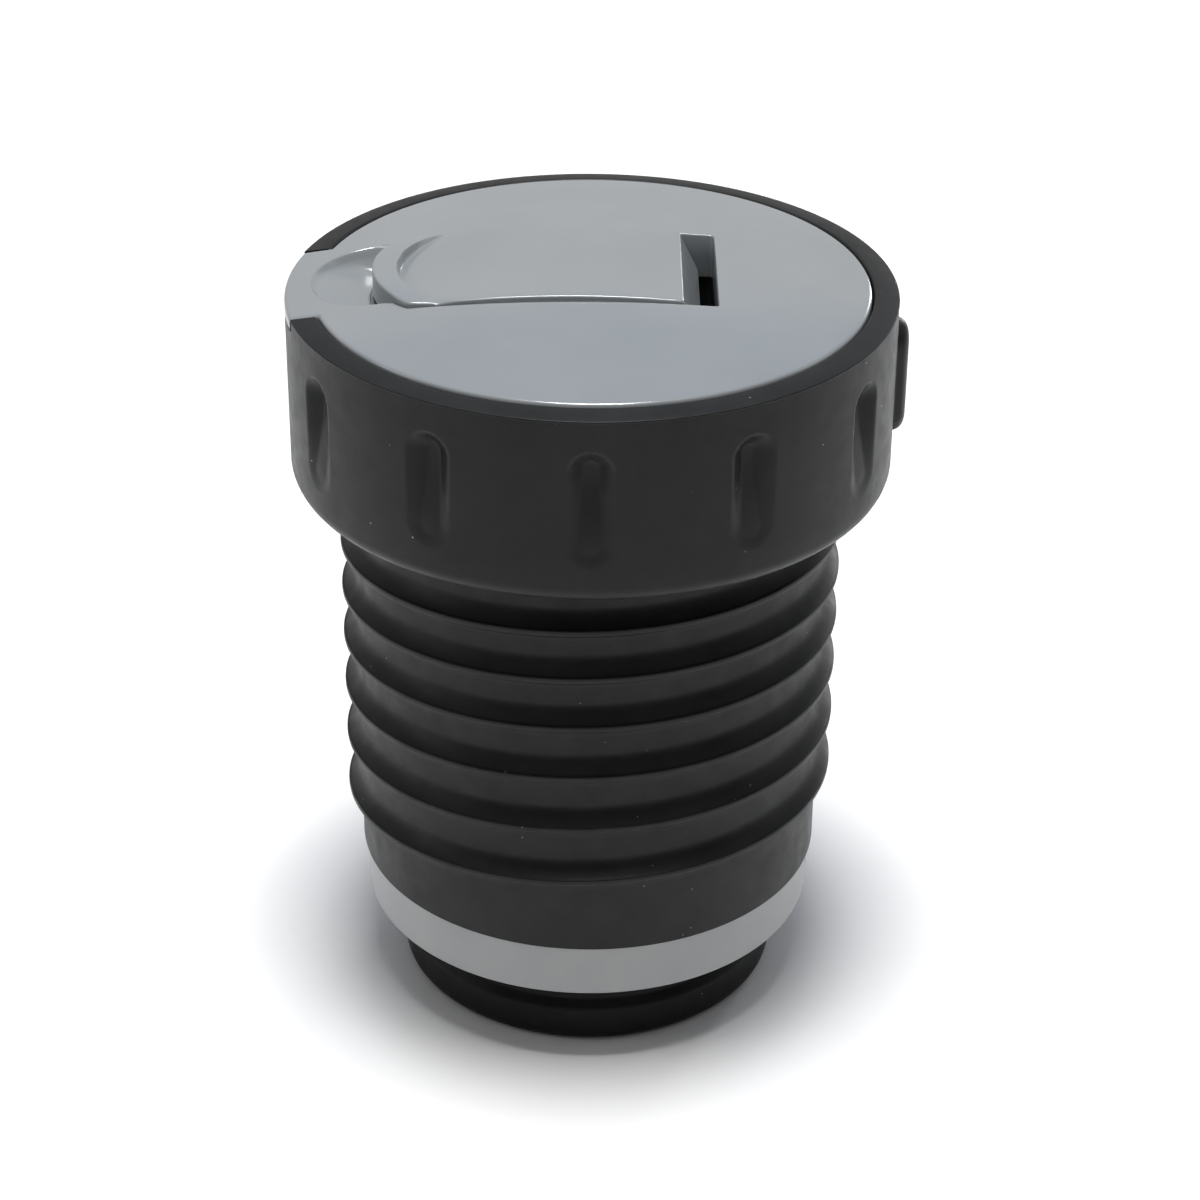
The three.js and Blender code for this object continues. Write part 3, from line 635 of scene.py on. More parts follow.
def distance_to(loop, points):
    """Distance of each point from a closed loop."""
    a = np.array(loop)
    b = np.roll(a, -1, axis=0)
    along = b - a
    best = np.full(len(points), np.inf)
    for start, step in zip(a, along):
        rel = points - start
        t = np.clip(rel @ step / max(step @ step, 1e-12), 0, 1)
        best = np.minimum(best, np.hypot(*(rel - t[:, None] * step).T))
    return best


def inside(loop, points):
    """True where a point is inside a closed loop."""
    a = np.array(loop)
    b = np.roll(a, -1, axis=0)
    x, y = points[:, 0:1], points[:, 1:2]
    crosses = (a[:, 1] > y) != (b[:, 1] > y)
    with np.errstate(divide="ignore", invalid="ignore"):
        at = a[:, 0] + (y - a[:, 1]) * (b[:, 0] - a[:, 0]) / (b[:, 1] - a[:, 1])
    return (crosses & (x < at)).sum(1) % 2 == 1


def filled(outer, holes, rows, grid, height, lines=()):
    """A triangulated face between closed loops, through rows of extra points, lifted by height.
    outer and holes are the bounding loops; rows are loops and lines open lines within the face."""
    coords, edges = [], []
    for loop in [outer, *holes, *rows, *lines]:
        first, count = len(coords), len(loop)
        coords += loop
        steps = count - 1 if any(loop is row for row in lines) else count
        edges += [(first + i, first + (i + 1) % count) for i in range(steps)]
    points = np.array(grid)
    clear = inside(outer, points)
    for hole in holes:
        clear &= ~inside(hole, points)
    points = points[clear]
    for loop in [outer, *holes, *rows, *lines]:
        points = points[distance_to(loop, points) > 0.2]
    coords += [tuple(p) for p in points]
    flat, _, faces, *_ = delaunay_2d_cdt([Vector(c) for c in coords], edges, [], 0, 1e-5)
    xy = np.array([tuple(v) for v in flat])
    middle = np.array([xy[list(f)].mean(0) for f in faces])
    keep = inside(outer, middle)
    for hole in holes:
        keep &= ~inside(hole, middle)
    faces = [tuple(f) for f, k in zip(faces, keep) if k]
    return np.column_stack([xy, height(xy)]), faces


def wall_between(loop, top, bottom):
    """Quads down a closed loop, from heights top to heights bottom."""
    count = len(loop)
    xy = np.array(loop)
    verts = np.concatenate([np.column_stack([xy, top]), np.column_stack([xy, bottom])])
    faces = [(i, (i + 1) % count, count + (i + 1) % count, count + i) for i in range(count)]
    return verts, faces


def grid_points(low_x, high_x, low_y, high_y, spacing):
    xs, ys = np.meshgrid(np.arange(low_x, high_x, spacing), np.arange(low_y, high_y, spacing))
    return np.column_stack([xs.ravel(), ys.ravel()])


def fillet_drop(distance, radius):
    """How far a rounded edge falls at a distance from the edge."""
    reach = np.clip(radius - distance, 0, radius)
    return radius - np.sqrt(radius**2 - reach**2)


def scoop(xy):
    """Depth of the finger scoop below the dome: steep sides and a floor that falls to the lip."""
    along = np.minimum(xy[:, 0] - SCOOP_MOUTH_X, 0) / SCOOP_LENGTH
    rim = 1 - np.hypot(along, xy[:, 1] / SCOOP_HALF)
    wall = SCOOP_WALL_SLOPE * SCOOP_HALF * rim
    floor = SCOOP_FLOOR_SLOPE * (xy[:, 0] - SCOOP_MOUTH_X + SCOOP_LENGTH) + SCOOP_START_DEPTH
    share = np.clip(0.5 + 0.5 * (floor - wall) / SCOOP_FOLD, 0, 1)
    depth = floor + (wall - floor) * share - SCOOP_FOLD * share * (1 - share)
    return np.maximum(depth, 0) * smoothstep(0, SCOOP_RIM, rim)


POCKET_LOOP = tab_loop(POCKET_GAP, SLOT_END_X)
LID_LOOP = lid_loop(0)


def lid_height(xy):
    """Height of the lid's face, with the scoop and the rounded edges."""
    z = dome(xy[:, 0], xy[:, 1]) - np.where(xy[:, 0] < SCOOP_END_X, scoop(xy), 0)
    z -= fillet_drop(distance_to(LID_LOOP, xy), EDGE_FILLET)
    return z - fillet_drop(distance_to(POCKET_LOOP, xy), POCKET_FILLET)


def pocket_height(xy):
    """Floor of the tab's pocket; the finger scoop runs on under the tab's lip."""
    fade = smoothstep(TAB_LIP_X + SCOOP_FADE[0], TAB_LIP_X + SCOOP_FADE[1], xy[:, 0])
    return np.minimum(POCKET_FLOOR, dome(xy[:, 0], xy[:, 1]) - scoop(xy) * fade)


def scoop_line(share):
    """A line along the scoop's rim, moved inwards by a share of the scoop's size, to the pocket."""
    turns = np.linspace(-math.pi / 2, math.pi / 2, 61)
    x = SCOOP_MOUTH_X - SCOOP_LENGTH * (1 - share) * np.cos(turns)
    points = np.column_stack([x, SCOOP_HALF * (1 - share) * np.sin(turns)])
    return [tuple(p) for p in points[~inside(tab_loop(POCKET_GAP + 0.6, SLOT_END_X), points)]]


def underside(xy):
    """The lid's underside; the tongue is thinner than the lid."""
    on_tongue = np.hypot(xy[:, 0], xy[:, 1]) > LID_R + 0.06
    return np.where(on_tongue, NOTCH_FLOOR + 0.3, LID_BOTTOM)


def lid_shape():
    """The lid's shell: face, edge and underside, the tab's pocket and the slot at its far end."""
    edge_rows = [lid_loop(s) for s in (0.08, 0.22, 0.42, 0.7)]
    pocket_rows = [tab_loop(POCKET_GAP + s, SLOT_END_X + s) for s in (0.07, 0.18, 0.4)]
    grid = np.concatenate([
        grid_points(-TONGUE_R, LID_R, -LID_R, LID_R, 1.4),
        grid_points(-TONGUE_R, -29, -TONGUE_HALF, TONGUE_HALF, 0.5) + 0.13,
    ])
    rims = [scoop_line(share) for share in (-0.012, 0, 0.012, 0.03, 0.06, 0.1, 0.16, 0.24)]
    top = filled(LID_LOOP, [POCKET_LOOP], edge_rows + pocket_rows, grid, lid_height, rims)
    slot = [p for p in POCKET_LOOP if p[0] > SLOT_START_X]
    floor_loop = [p for p in POCKET_LOOP if p[0] <= SLOT_START_X]
    floor_grid = grid_points(TAB_LIP_X, SLOT_START_X, -TAB_HALF, TAB_HALF, 1.0)
    floor = filled(floor_loop, [], [], floor_grid, pocket_height)
    pocket_xy, lid_xy = np.array(POCKET_LOOP), np.array(LID_LOOP)
    wall_top = lid_height(pocket_xy)
    wall = wall_between(POCKET_LOOP, wall_top, np.minimum(pocket_height(pocket_xy), wall_top))
    slot_xy = np.array(slot)
    slot_wall = wall_between(slot, pocket_height(slot_xy), np.full(len(slot), LID_BOTTOM))
    side = wall_between(LID_LOOP, lid_height(lid_xy), underside(lid_xy))
    under_grid = grid_points(-TONGUE_R, LID_R, -LID_R, LID_R, 4)
    root = math.asin((TONGUE_HALF - 0.01) / LID_R)
    steps = [arc(0, 0, LID_R + s, math.pi - root, math.pi + root, 1) for s in (0.03, 0.1)]
    under = filled(LID_LOOP, [slot], [], under_grid, underside, steps)
    return joined(top, wall, floor, slot_wall, side, under)


PLATE_TOP = 113.4
BOSS_OFFSET = 19.5
BOSS_R = 3.2
BOSS_BORE = 1.4
PIN_X, PIN_Z, PIN_R = 10.0, 121.6, 1.0
CHEEK_WIDTH = 3.2
CHEEK_HALF = 3.4
CHEEK_BOTTOM = PIN_Z - CHEEK_HALF


def lid_underside():
    """Screw bosses and the two cheeks that hold the tab's hinge pin."""
    shapes = []
    for sx, sy in ((-1, -1), (1, -1), (1, 1), (-1, 1)):
        tube = [
            (BOSS_BORE, PLATE_TOP + 0.3, 0.1), (BOSS_R, PLATE_TOP + 0.3, 0.3),
            (BOSS_R, LID_BOTTOM + 0.5, 0), (BOSS_BORE, LID_BOTTOM + 0.5, 0),
        ]
        shapes.append(moved(lathe(tube, 32, 3), sx * BOSS_OFFSET, sy * BOSS_OFFSET))
    near = TAB_HALF + POCKET_GAP
    far = near + CHEEK_WIDTH
    for low_y, high_y in ((near, far), (-far, -near)):
        low = (PIN_X - CHEEK_HALF, low_y, CHEEK_BOTTOM)
        shapes.append(block(low, (PIN_X + CHEEK_HALF, high_y, LID_BOTTOM + 0.6)))
    return joined(*shapes)


make("press_lid_shell", *lid_shape(), GREY_PLASTIC, "head", ["press_lid"])
make("press_lid_bosses", *lid_underside(), GREY_PLASTIC, "head")


def pad_arc(past, margin):
    """The lip's inner edge, moved by past into the pad and kept margin clear of the tab's sides."""
    cx, radius, _ = lip_circle(0)
    sweep = math.asin((TAB_HALF - margin) / (radius - past))
    return arc(cx + LIP_WIDTH, 0, radius - past, math.pi - sweep, math.pi + sweep, 0.5)


def pad_height(x):
    """Height of the tab's arched pad."""
    return PAD_CROWN_Z - (x - PAD_CROWN_X) ** 2 / PAD_ARCH_DIAMETER


def tab_height(xy):
    """Height of the tab's face: the raised lip, a step down to the pad, and the rounded edges."""
    cx, radius, _ = lip_circle(0)
    x = xy[:, 0]
    past_lip = radius - np.hypot(np.minimum(x - cx - LIP_WIDTH, 0), xy[:, 1])
    past_lip = np.where(x > cx, 9, past_lip)
    pad = pad_height(x) - PAD_DIP * smoothstep(2.5, 0.2, past_lip) * smoothstep(-14, -26, x)
    lip = TAB_LIP_TOP - LIP_CROWN * xy[:, 1] ** 2
    z = lip + (np.minimum(pad, lip) - lip) * smoothstep(-0.12, 0.38, past_lip)
    z = np.where(past_lip > 0.6, pad, z)
    return z - fillet_drop(distance_to(TAB_LOOP, xy), TAB_FILLET)


TAB_LOOP = tab_loop(0, TAB_END_X)


def tab_shape():
    """The tab's plate: face, edge and flat underside."""
    rows = [tab_loop(-s, TAB_END_X - s) for s in (0.05, 0.13, 0.25, 0.42)]
    grid = np.concatenate([
        grid_points(TAB_LIP_X, TAB_END_X, -TAB_HALF, TAB_HALF, 1.1),
        grid_points(TAB_LIP_X, -22, -TAB_HALF, TAB_HALF, 0.6) + 0.11,
    ])
    lines = [pad_arc(past, 0.6) for past in (-0.3, -0.1, 0.03, 0.15, 0.28, 0.4, 0.7)]
    top = filled(TAB_LOOP, [], rows, grid, tab_height, lines)
    xy = np.array(TAB_LOOP)
    side = wall_between(TAB_LOOP, tab_height(xy), np.full(len(xy), TAB_UNDERSIDE))
    under_grid = grid_points(TAB_LIP_X, TAB_END_X, -TAB_HALF, TAB_HALF, 4)
    under = filled(TAB_LOOP, [], [], under_grid, lambda p: np.full(len(p), TAB_UNDERSIDE))
    return joined(top, side, under)


make("pull_tab_plate", *tab_shape(), GREY_PLASTIC, "tab", ["pull_tab"])


HEEL_START_X = 6.8
HEEL_BOTTOM = PIN_Z - 4
HEEL_NOSE_X = TAB_END_X + 3
HEEL_NOSE = (121.0, 122.6)  # the nose's lower and upper edge


def heel_shape():
    """The tab's heel: it slopes out to a nose below the slot's mouth and holds the pin."""
    top = pad_height(TAB_END_X) - TAB_FILLET
    corners = [
        (HEEL_START_X, HEEL_BOTTOM, 0.8), (TAB_END_X, HEEL_BOTTOM, 0.8),
        (HEEL_NOSE_X, HEEL_NOSE[0], 0.6), (HEEL_NOSE_X, HEEL_NOSE[1], 0.4),
        (TAB_END_X, top, 0), (HEEL_START_X, top, 0),
    ]
    outline = rounded(corners)
    half = TAB_HALF - 0.02
    count = len(outline)
    verts = []
    for y in (-half, half):
        verts += [(x, y, z) for x, z in outline]
    faces = [(i, (i + 1) % count, count + (i + 1) % count, count + i) for i in range(count)]
    faces += [tuple(range(count)), tuple(count + i for i in range(count))[::-1]]
    return verts, faces


weighted(make("pull_tab_heel", *heel_shape(), GREY_PLASTIC, "tab"))


def along_y(shape, x, z):
    """Turns a shape from the Z axis to lie along Y at x, z."""
    verts, faces = shape
    v = np.asarray(verts)
    return np.column_stack([v[:, 0] + x, v[:, 2], v[:, 1] + z]), faces


PIN_HALF = span("tab_hinge_pin")[1].y
pin = solid_lathe([
    (0, -PIN_HALF, 0), (PIN_R, -PIN_HALF, 0.3), (PIN_R, PIN_HALF, 0.3), (0, PIN_HALF, 0),
], 32)
make("hinge_pin", *along_y(pin, PIN_X, PIN_Z), STEEL, "head", ["tab_hinge_pin"])


# ---------------------------------------------------------------- bellows
SLEEVE_R = 39.2
SLEEVE_INNER = 37.2
RIB_HEIGHT = RIB_R - SLEEVE_R
RIB_CREST = 0.55  # half the width of the rib's flat crest
RIB_UPPER = 3.0  # length of the long hollow flank above the crest
RIB_LOWER = 1.5  # length of the short flank below it
RIB_START = 37.0  # height of the crest where it first passes the front
RIB_LEAD = 10.3  # rise of the rib's first turn
RIB_CLOSING = 0.2  # how fast the turns close up
RIB_SWAY = 1.9  # how much higher the rib runs at the front than a plain helix
RIB_FIRST_TURN = -0.55
RIB_LAST_TURN = 5.8
RIB_FADE = 0.2  # turns over which the rib rises from the sleeve at its ends
RIB_PASSES = 9
CUFF_TOP = 28.4
NECK_BOTTOM = 95.0  # above this the sleeve moves with the head
SEAM = 0.02


def crest_height(turn):
    """Height of the rib's crest, in turns from where it first passes the front. It rises to the
    right at the front, a little higher there than a plain helix, and closes up towards the top."""
    return RIB_START + RIB_LEAD * turn - RIB_CLOSING * turn**2 + RIB_SWAY * math.cos(TAU * turn)


def rib_profile():
    """Offsets across the rib, from its lower flank up, and the share of its height at each."""
    below, above = np.linspace(1, 0, 9)[:-1], np.linspace(0, 1, 19)[1:]
    shoulder = 1 - 0.5 * RIB_CREST / RIB_HEIGHT
    crest = np.sin(np.linspace(-1, 1, 11) * math.pi / 2)
    offsets = [-RIB_CREST - RIB_LOWER * below, RIB_CREST * crest, RIB_CREST + RIB_UPPER * above]
    shares = [
        shoulder * (1 - below) ** 1.6, shoulder + (1 - shoulder) * np.sqrt(1 - crest**4),
        shoulder * (1 - above) ** 1.9,
    ]
    return np.concatenate(offsets), np.concatenate(shares)


def sleeve_shape(bottom, top, columns=220):
    """A length of the ribbed sleeve between two heights, on a grid that climbs with the rib."""
    offsets, shares = rib_profile()
    wall = np.linspace(0, 1, 5)[1:-1]
    verts, faces = [], []
    for angle in np.linspace(0, TAU, columns + 1):
        z, r = [], []
        for k in range(-3, RIB_PASSES):
            turn = k + angle / TAU + 0.25
            fade = smoothstep(0, RIB_FADE, min(turn - RIB_FIRST_TURN, RIB_LAST_TURN - turn))
            crest, following = crest_height(turn), crest_height(turn + 1)
            start, end = crest + offsets[-1], following + offsets[0]
            z += [crest + offsets, start + (end - start) * wall]
            r += [SLEEVE_R + RIB_HEIGHT * fade * shares, np.full(len(wall), SLEEVE_R)]
        z, r = np.concatenate(z), np.concatenate(r)
        r = np.where((z > bottom) & (z < top), r, SLEEVE_R)
        z = np.concatenate([[bottom], np.clip(z, bottom, top), [top]])
        r = np.concatenate([[SLEEVE_INNER], r, [SLEEVE_INNER]])
        verts.append(np.column_stack([r * np.cos(angle), r * np.sin(angle), z]))
    rows = len(verts[0])
    for i in range(columns):
        for j in range(rows):
            up = (j + 1) % rows
            here, there = i * rows, (i + 1) * rows
            faces.append((here + j, there + j, there + up, here + up))
    return np.concatenate(verts), faces


ribs = sleeve_shape(CUFF_TOP, NECK_BOTTOM)
bellows = make("bellows_ribs", *ribs, RUBBER, "base", ["bellows"])
squash_along_z(bellows)
make("bellows_cuff", *sleeve_shape(SLEEVE_BOTTOM, CUFF_TOP), RUBBER, "base")
make("bellows_neck", *sleeve_shape(NECK_BOTTOM + SEAM, SLEEVE_TOP), RUBBER, "head")

# ---------------------------------------------------------------- head plate, clamp, screws
NECK_OUTER, NECK_INNER = 36.9, 34.9
PLATE_BOTTOM = 109.8
DISH_R = 42.4
head_plate = [
    (NECK_INNER, PLATE_BOTTOM_EDGE, 0.4), (NECK_OUTER, PLATE_BOTTOM_EDGE, 0.6),
    (NECK_OUTER, PLATE_BOTTOM, 0.3), (PLATE_R, PLATE_BOTTOM, 0.5), (PLATE_R, RIM_TOP, 0.4),
    (DISH_R, RIM_TOP, 0.4), (DISH_R, PLATE_TOP, 0.4), (0.0, PLATE_TOP, 0), (0.0, PLATE_BOTTOM, 0),
    (NECK_INNER, PLATE_BOTTOM, 0.5),
]
weighted(make("head_plate_disc", *lathe(head_plate, 128), COLLAR_PLASTIC, "head", ["head_plate"]))

BAND_LOW, BAND_HIGH = span("top_clamp_band")
BAND_INNER = 39.5
BAND_R = BAND_HIGH.y
BEAD_Z = 103.5  # middle of the groove rolled round the band
BEAD_HALF = 0.7
BEAD_SLOPE = 0.5
BEAD_DEPTH = 0.35
band = [
    (BAND_INNER, BAND_LOW.z, 0.3), (BAND_R, BAND_LOW.z, 0.3),
    (BAND_R, BEAD_Z - BEAD_HALF - BEAD_SLOPE, 0.3), (BAND_R - BEAD_DEPTH, BEAD_Z - BEAD_HALF, 0.2),
    (BAND_R - BEAD_DEPTH, BEAD_Z + BEAD_HALF, 0.2), (BAND_R, BEAD_Z + BEAD_HALF + BEAD_SLOPE, 0.3),
    (BAND_R, BAND_HIGH.z, 0.3), (BAND_INNER, BAND_HIGH.z, 0.3),
]
weighted(make("clamp_band", *lathe(band, 128, 3), STEEL, "head", ["top_clamp_band"]))

THREAD_PITCH = 0.55
THREAD_DEPTH = 0.22
THREAD_ROW = 0.11  # height between the rows of points along the thread
COLLAR_UNDER_HEAD = 0.6
TIP_TAPER = 1.2


def screw_shape(length, head_r=2.9, head_h=1.4, shank_r=1.3):
    """A pan-head screw with its head at z 0 and a threaded shank that points up."""
    start = head_h + COLLAR_UNDER_HEAD
    head = solid_lathe([
        (0, 0, 0), (head_r, 0, 0.75), (head_r, head_h, 0.15), (shank_r, head_h, 0),
        (shank_r, start, 0), (0, start, 0),
    ], 40)
    thread_z = np.arange(start, length, THREAD_ROW)
    wave = np.abs((thread_z / THREAD_PITCH) % 1 * 2 - 1)
    ridge = shank_r - THREAD_DEPTH + THREAD_DEPTH * wave
    tip = np.clip((length - thread_z) / TIP_TAPER, 0, 1)
    corners = [(0, start - 0.1, 0)]
    corners += [(r * t, z, 0) for r, t, z in zip(ridge, tip, thread_z)]
    corners += [(0, length, 0)]
    return joined(head, solid_lathe(corners, 20))


def cross_recess(depth=0.9, reach=1.45, half=0.32):
    """The four-armed driver recess in a screw's head, as two cutters."""
    across = block((-reach, -half, -0.5), (reach, half, depth), 0.05)
    along = block((-half, -reach, -0.5), (half, reach, depth), 0.05)
    return across, along


def add_screws(nodes, body):
    """Screws in place of CAD nodes, which all have the same length."""
    low, high = span(nodes[0])
    shape = screw_shape(high.z - low.z)
    for node in nodes:
        low, high = span(node)
        piece = make(f"{node}_part", *shape, STEEL, body, [node])
        cut(piece, *cross_recess())
        foot = Vector((low.x + high.x, low.y + high.y, 2 * low.z)) / 2
        piece.data.transform(Matrix.Translation(foot * MM))
        weighted(piece)


add_screws([f"lid_screw_{i}" for i in (1, 2, 3, 4)], "head")
add_screws([f"cage_screw_{i}" for i in (1, 2, 3)], "base")


# ---------------------------------------------------------------- valve base and foot seal
RING_BOTTOM, RING_TOP = SEAL_TOP + 0.3, SLEEVE_BOTTOM - 0.3
FLOOR_TOP = RING_BOTTOM + 3
SPIGOT_R = SLEEVE_INNER - 0.3
FOOT_OUTER, FOOT_INNER, FOOT_BOTTOM = 27.0, 25.0, 0.9
BORE_R = 12.0
PORTS, PORT_CIRCLE, PORT_R = 16, 32.9, 1.5
POST_CIRCLE, POST_R, POST_BORE, POST_BOTTOM = 21.2, 3.0, 1.6, 3.3
POST_ANGLES = even_angles(3, 0.25)
PAST = 2  # how far a cutter stands past the wall it cuts
base_outline = [
    (BORE_R, RING_BOTTOM, 0.6), (FOOT_INNER, RING_BOTTOM, 0.3), (FOOT_INNER, FOOT_BOTTOM, 0.5),
    (FOOT_OUTER, FOOT_BOTTOM, 0.5), (FOOT_OUTER, RING_BOTTOM, 0.2), (RING_R, RING_BOTTOM, 0.9),
    (RING_R, RING_TOP, 0.35), (SPIGOT_R, RING_TOP, 0.2), (SPIGOT_R, SPIGOT_TOP, 0.6),
    (NECK_INNER, SPIGOT_TOP, 0.6), (NECK_INNER, FLOOR_TOP, 0.5), (BORE_R, FLOOR_TOP, 0.5),
]
base = make("valve_base_body", *lathe(base_outline, 180), PALE_PLASTIC, "base", ["valve_base"])
port = solid_lathe([
    (0, RING_BOTTOM - PAST, 0), (PORT_R, RING_BOTTOM - PAST, 0),
    (PORT_R, FLOOR_TOP + PAST, 0), (0, FLOOR_TOP + PAST, 0),
], 24)
cut(base, round_circle(port, PORT_CIRCLE, even_angles(PORTS)))
weighted(base)
post = lathe([
    (POST_BORE, POST_BOTTOM, 0.1), (POST_R, POST_BOTTOM, 0.3),
    (POST_R, RING_BOTTOM + 0.5, 0), (POST_BORE, RING_BOTTOM + 0.5, 0),
], 32, 3)
posts = round_circle(post, POST_CIRCLE, POST_ANGLES)
make("valve_base_posts", *posts, PALE_PLASTIC, "base")

SEAL_NECK_R = 30.9
SEAL_INNER = FOOT_OUTER + 0.3
SEAL_LIP_TOP = 6.6
seal = [
    (SEAL_INNER, 0, 0.3), (SEAL_R, 0, 2.2), (SEAL_R, SEAL_LIP_TOP, 1.7),
    (SEAL_NECK_R + 0.2, SEAL_LIP_TOP + 1.6, 0.9), (SEAL_NECK_R, SEAL_TOP, 0.4),
    (SEAL_INNER, SEAL_TOP, 0.3),
]
make("foot_seal_ring", *lathe(seal, 180, 7), PAINTED_SHADE_SEAL_RUBBER, "base", ["foot_seal"])


# ---------------------------------------------------------------- outlet cage and poppet
CAGE_R, CAGE_INNER, CAGE_T = 24.6, 17.8, 3.0
HUB_FACE_R, HUB_R, HUB_TOP, STEM_R = 6.0, 3.8, 8.0, 1.8
STEM_HOLE_R = STEM_R + 0.3
STEM_HOLE_BOTTOM = 2
ARMS = 3
ARM_START, ARM_HALF, ARM_TOP = 4, 2, CAGE_T - 0.6
WELL_R, WELL_DEPTH, SCREW_HOLE_R = 3.2, 1.7, 1.7
cage_ring = lathe([
    (CAGE_INNER, 0, 0.4), (CAGE_R, 0, 0.4), (CAGE_R, CAGE_T, 0.4), (CAGE_INNER, CAGE_T, 0.4),
], 128)
cage = make("outlet_cage_ring", *cage_ring, PALE_PLASTIC, "base", ["outlet_cage"])
well = solid_lathe([
    (0, -1, 0), (WELL_R, -1, 0), (WELL_R, WELL_DEPTH, 0.2), (SCREW_HOLE_R, WELL_DEPTH, 0),
    (SCREW_HOLE_R, CAGE_T + 1, 0), (0, CAGE_T + 1, 0),
], 40)
cut(cage, round_circle(well, POST_CIRCLE, POST_ANGLES))
weighted(cage)
hub = solid_lathe([
    (0, 0, 0), (HUB_FACE_R, 0, 0.5), (HUB_FACE_R, ARM_TOP, 0.5), (HUB_R, ARM_TOP, 0.4),
    (HUB_R, HUB_TOP, 0.4), (STEM_HOLE_R, HUB_TOP, 0.3), (STEM_HOLE_R, STEM_HOLE_BOTTOM, 0),
    (0, STEM_HOLE_BOTTOM, 0),
], 64)
arms = []
for turn in even_angles(ARMS, -0.25):
    verts, faces = block((ARM_START, -ARM_HALF, 0), (CAGE_INNER + 1.2, ARM_HALF, ARM_TOP), 0.5)
    across, up = (math.cos(turn), math.sin(turn), 0), (-math.sin(turn), math.cos(turn), 0)
    arms.append((verts @ np.array([across, up, (0, 0, 1)]), faces))
weighted(make("outlet_cage_hub", *joined(hub, *arms), PALE_PLASTIC, "base"))

POPPET_LOW, POPPET_HIGH = span("outlet_poppet")
POPPET_R = POPPET_HIGH.y
DISC_TOP = POPPET_HIGH.z
DISC_BOTTOM = DISC_TOP - 2.4
poppet = solid_lathe([
    (0, POPPET_LOW.z, 0), (STEM_R, POPPET_LOW.z, 0.4), (STEM_R, DISC_BOTTOM, 0.5),
    (POPPET_R, DISC_BOTTOM, 0.9), (POPPET_R, DISC_TOP, 0.4), (0, DISC_TOP, 0),
], 96)
weighted(make("outlet_poppet_valve", *poppet, RUBBER, "outlet_valve", ["outlet_poppet"]))


# ---------------------------------------------------------------- inlet flap and its retainer
FLAP_LOW, FLAP_HIGH = span("inlet_flap")
FLAP_INNER = 30.4
flap = [
    (FLAP_INNER, FLAP_LOW.z, 0.25), (FLAP_HIGH.y, FLAP_LOW.z, 0.25),
    (FLAP_HIGH.y, FLAP_HIGH.z, 0.35), (FLAP_INNER, FLAP_HIGH.z, 0.35),
]
make("inlet_flap_ring", *lathe(flap, 128), RUBBER, "inlet_valve", ["inlet_flap"])

KEEPER_LOW, KEEPER_HIGH = span("flap_retainer")
KEEPER_INNER, KEEPER_R = 27.6, 30
KEEPER_BRIM = KEEPER_HIGH.z - 1.2
keeper = [
    (KEEPER_INNER, KEEPER_LOW.z, 0.3), (KEEPER_R, KEEPER_LOW.z, 0.3), (KEEPER_R, KEEPER_BRIM, 0.3),
    (KEEPER_HIGH.y, KEEPER_BRIM, 0.3), (KEEPER_HIGH.y, KEEPER_HIGH.z, 0.4),
    (KEEPER_INNER, KEEPER_HIGH.z, 0.4),
]
weighted(make("flap_retainer_ring", *lathe(keeper, 128), PALE_PLASTIC, "base", ["flap_retainer"]))


# ---------------------------------------------------------------- springs
def spring(name, node, radius, wire, turns, steps, sides):
    """A spring in place of a CAD node."""
    low, high = span(node)
    coil = helix_wire(radius, wire, low.z, high.z, turns, steps, sides)
    piece = make(name, *coil, STEEL, "base", [node])
    squash_along_z(piece)


spring("return_spring_coil", "return_spring", 33.0, 1.1, 8, 48, 12)
spring("outlet_spring_coil", "outlet_spring", 5.4, 0.5, 4.5, 36, 10)


# ---------------------------------------------------------------- floor, light, camera
def floor_material():
    """Pale, nearly even studio floor."""
    look = Look("floor", Roughness=0.55)
    look.into("Base Color", look.blend(look.noise(300, 2), (0.86, 0.86, 0.86), (0.9, 0.9, 0.9)))
    look.into("Normal", look.bump(look.noise(2, 2), 0.01))
    return look.material


def make_floor(half=6.0):
    """A square floor under the part, half metres to each side."""
    mesh = bpy.data.meshes.new("floor")
    corners = [(-half, -half, 0), (half, -half, 0), (half, half, 0), (-half, half, 0)]
    mesh.from_pydata(corners, [], [(0, 1, 2, 3)])
    floor = bpy.data.objects.new("floor", mesh)
    floor.data.materials.append(floor_material())
    bpy.context.collection.objects.link(floor)


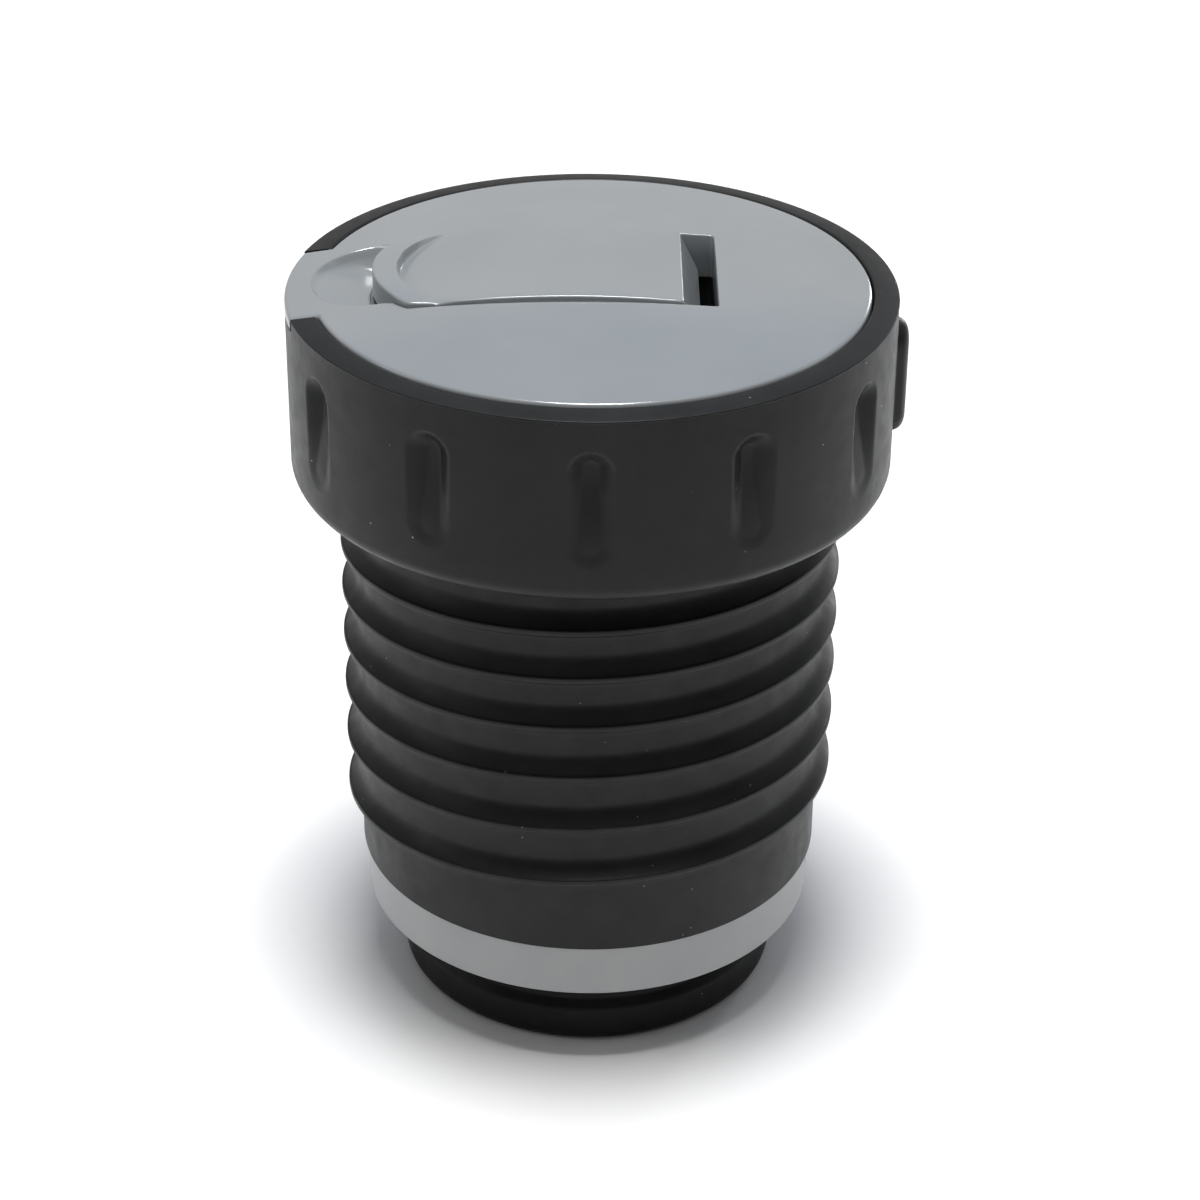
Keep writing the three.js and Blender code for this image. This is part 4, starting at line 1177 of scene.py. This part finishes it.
def make_world():
    """A plain studio: neutral walls, a cool ceiling above them and a dim side behind the camera."""
    world = bpy.data.worlds.new("studio")
    bpy.context.scene.world = world
    world.use_nodes = True
    tree = world.node_tree
    where = tree.nodes.new("ShaderNodeTexCoord").outputs["Generated"]

    def towards(direction, low, high):
        """0 to 1 as the cosine of the angle from a direction goes from low to high."""
        dot = tree.nodes.new("ShaderNodeVectorMath")
        dot.operation = "DOT_PRODUCT"
        dot.inputs[1].default_value = Vector(direction).normalized()
        tree.links.new(where, dot.inputs[0])
        share = tree.nodes.new("ShaderNodeMapRange")
        share.interpolation_type = "SMOOTHSTEP"
        tree.links.new(dot.outputs["Value"], share.inputs["Value"])
        share.inputs["From Min"].default_value = low
        share.inputs["From Max"].default_value = high
        return share.outputs["Result"]

    def layer(share, first, second):
        """A mix of two colours or sockets by a share."""
        mix = tree.nodes.new("ShaderNodeMix")
        mix.data_type = "RGBA"
        tree.links.new(share, mix.inputs[0])
        for socket, colour in ((6, first), (7, second)):
            if isinstance(colour, tuple):
                mix.inputs[socket].default_value = (*colour, 1)
            else:
                tree.links.new(colour, mix.inputs[socket])
        return mix.outputs[2]

    back = layer(towards((0.16, -0.1, 1), 0.38, 0.43), (0.75, 0.74, 0.72), (0.29, 0.4, 0.6))
    front = layer(towards((0, 0, 1), 0.6, 0.78), (0.1, 0.1, 0.1), (0.55, 0.55, 0.56))
    colour = layer(towards((0, -1, 0), -0.7, -0.2), back, front)
    background = tree.nodes["Background"]
    tree.links.new(colour, background.inputs["Color"])
    background.inputs["Strength"].default_value = 0.7


def softbox(name, place, target, size, power):
    """A white rectangular area light that points from place to target."""
    lamp = bpy.data.lights.new(name, "AREA")
    lamp.shape = "RECTANGLE"
    lamp.size, lamp.size_y = size
    lamp.energy = power
    piece = bpy.data.objects.new(name, lamp)
    bpy.context.collection.objects.link(piece)
    piece.location = place
    piece.rotation_euler = (Vector(target) - Vector(place)).to_track_quat("-Z", "Y").to_euler()


SENSOR_WIDTH = 36
FOCAL_LENGTH = 92.67
CAMERA_REACH = 10.109 * COLLAR_R  # from the middle of the collar's rim to the camera
CAMERA_RAISE = math.radians(23.59)  # the camera's elevation, seen from there
CAMERA_PITCH = math.radians(29.37)
CAMERA_YAW = math.radians(0.217)
CAMERA_ROLL = math.radians(0.555)


def make_camera():
    """A long lens in front of the part, a little above it, with a slight roll."""
    reach, rim = CAMERA_REACH * MM, BAND_EDGE_Z * MM
    pitch, yaw, roll = CAMERA_PITCH, CAMERA_YAW, CAMERA_ROLL
    camera = bpy.data.cameras.new("camera")
    camera.sensor_width = SENSOR_WIDTH
    camera.lens = FOCAL_LENGTH
    camera.clip_start, camera.clip_end = 0.01, 50
    piece = bpy.data.objects.new("camera", camera)
    bpy.context.collection.objects.link(piece)
    ahead = Vector((math.sin(yaw) * math.cos(pitch), math.cos(yaw) * math.cos(pitch), -math.sin(pitch)))
    right = Vector((math.cos(yaw), -math.sin(yaw), 0))
    up = right.cross(ahead)
    turned_right = right * math.cos(roll) + up * math.sin(roll)
    turned_up = up * math.cos(roll) - right * math.sin(roll)
    turn = Matrix((turned_right, turned_up, -ahead)).transposed().to_4x4()
    place = Vector((0, -reach * math.cos(CAMERA_RAISE), rim + reach * math.sin(CAMERA_RAISE)))
    piece.matrix_world = Matrix.Translation(place) @ turn
    bpy.context.scene.camera = piece


make_floor()
make_world()
softbox("top_light", (0.0, -0.08, 1.5), (0, 0, 0.1), (0.42, 0.42), 27)
softbox("left_light", (-1.3, -0.1, 0.5), (0, 0, 0.06), (0.5, 0.8), 2)
softbox("right_light", (1.3, 0.2, 0.5), (0, 0, 0.06), (0.4, 0.8), 1)
softbox("window_light", (0.75, 1.35, 0.3), (0, 0, 0.12), (0.16, 0.5), 4)
make_camera()
bpy.context.scene.view_settings.view_transform = "Standard"
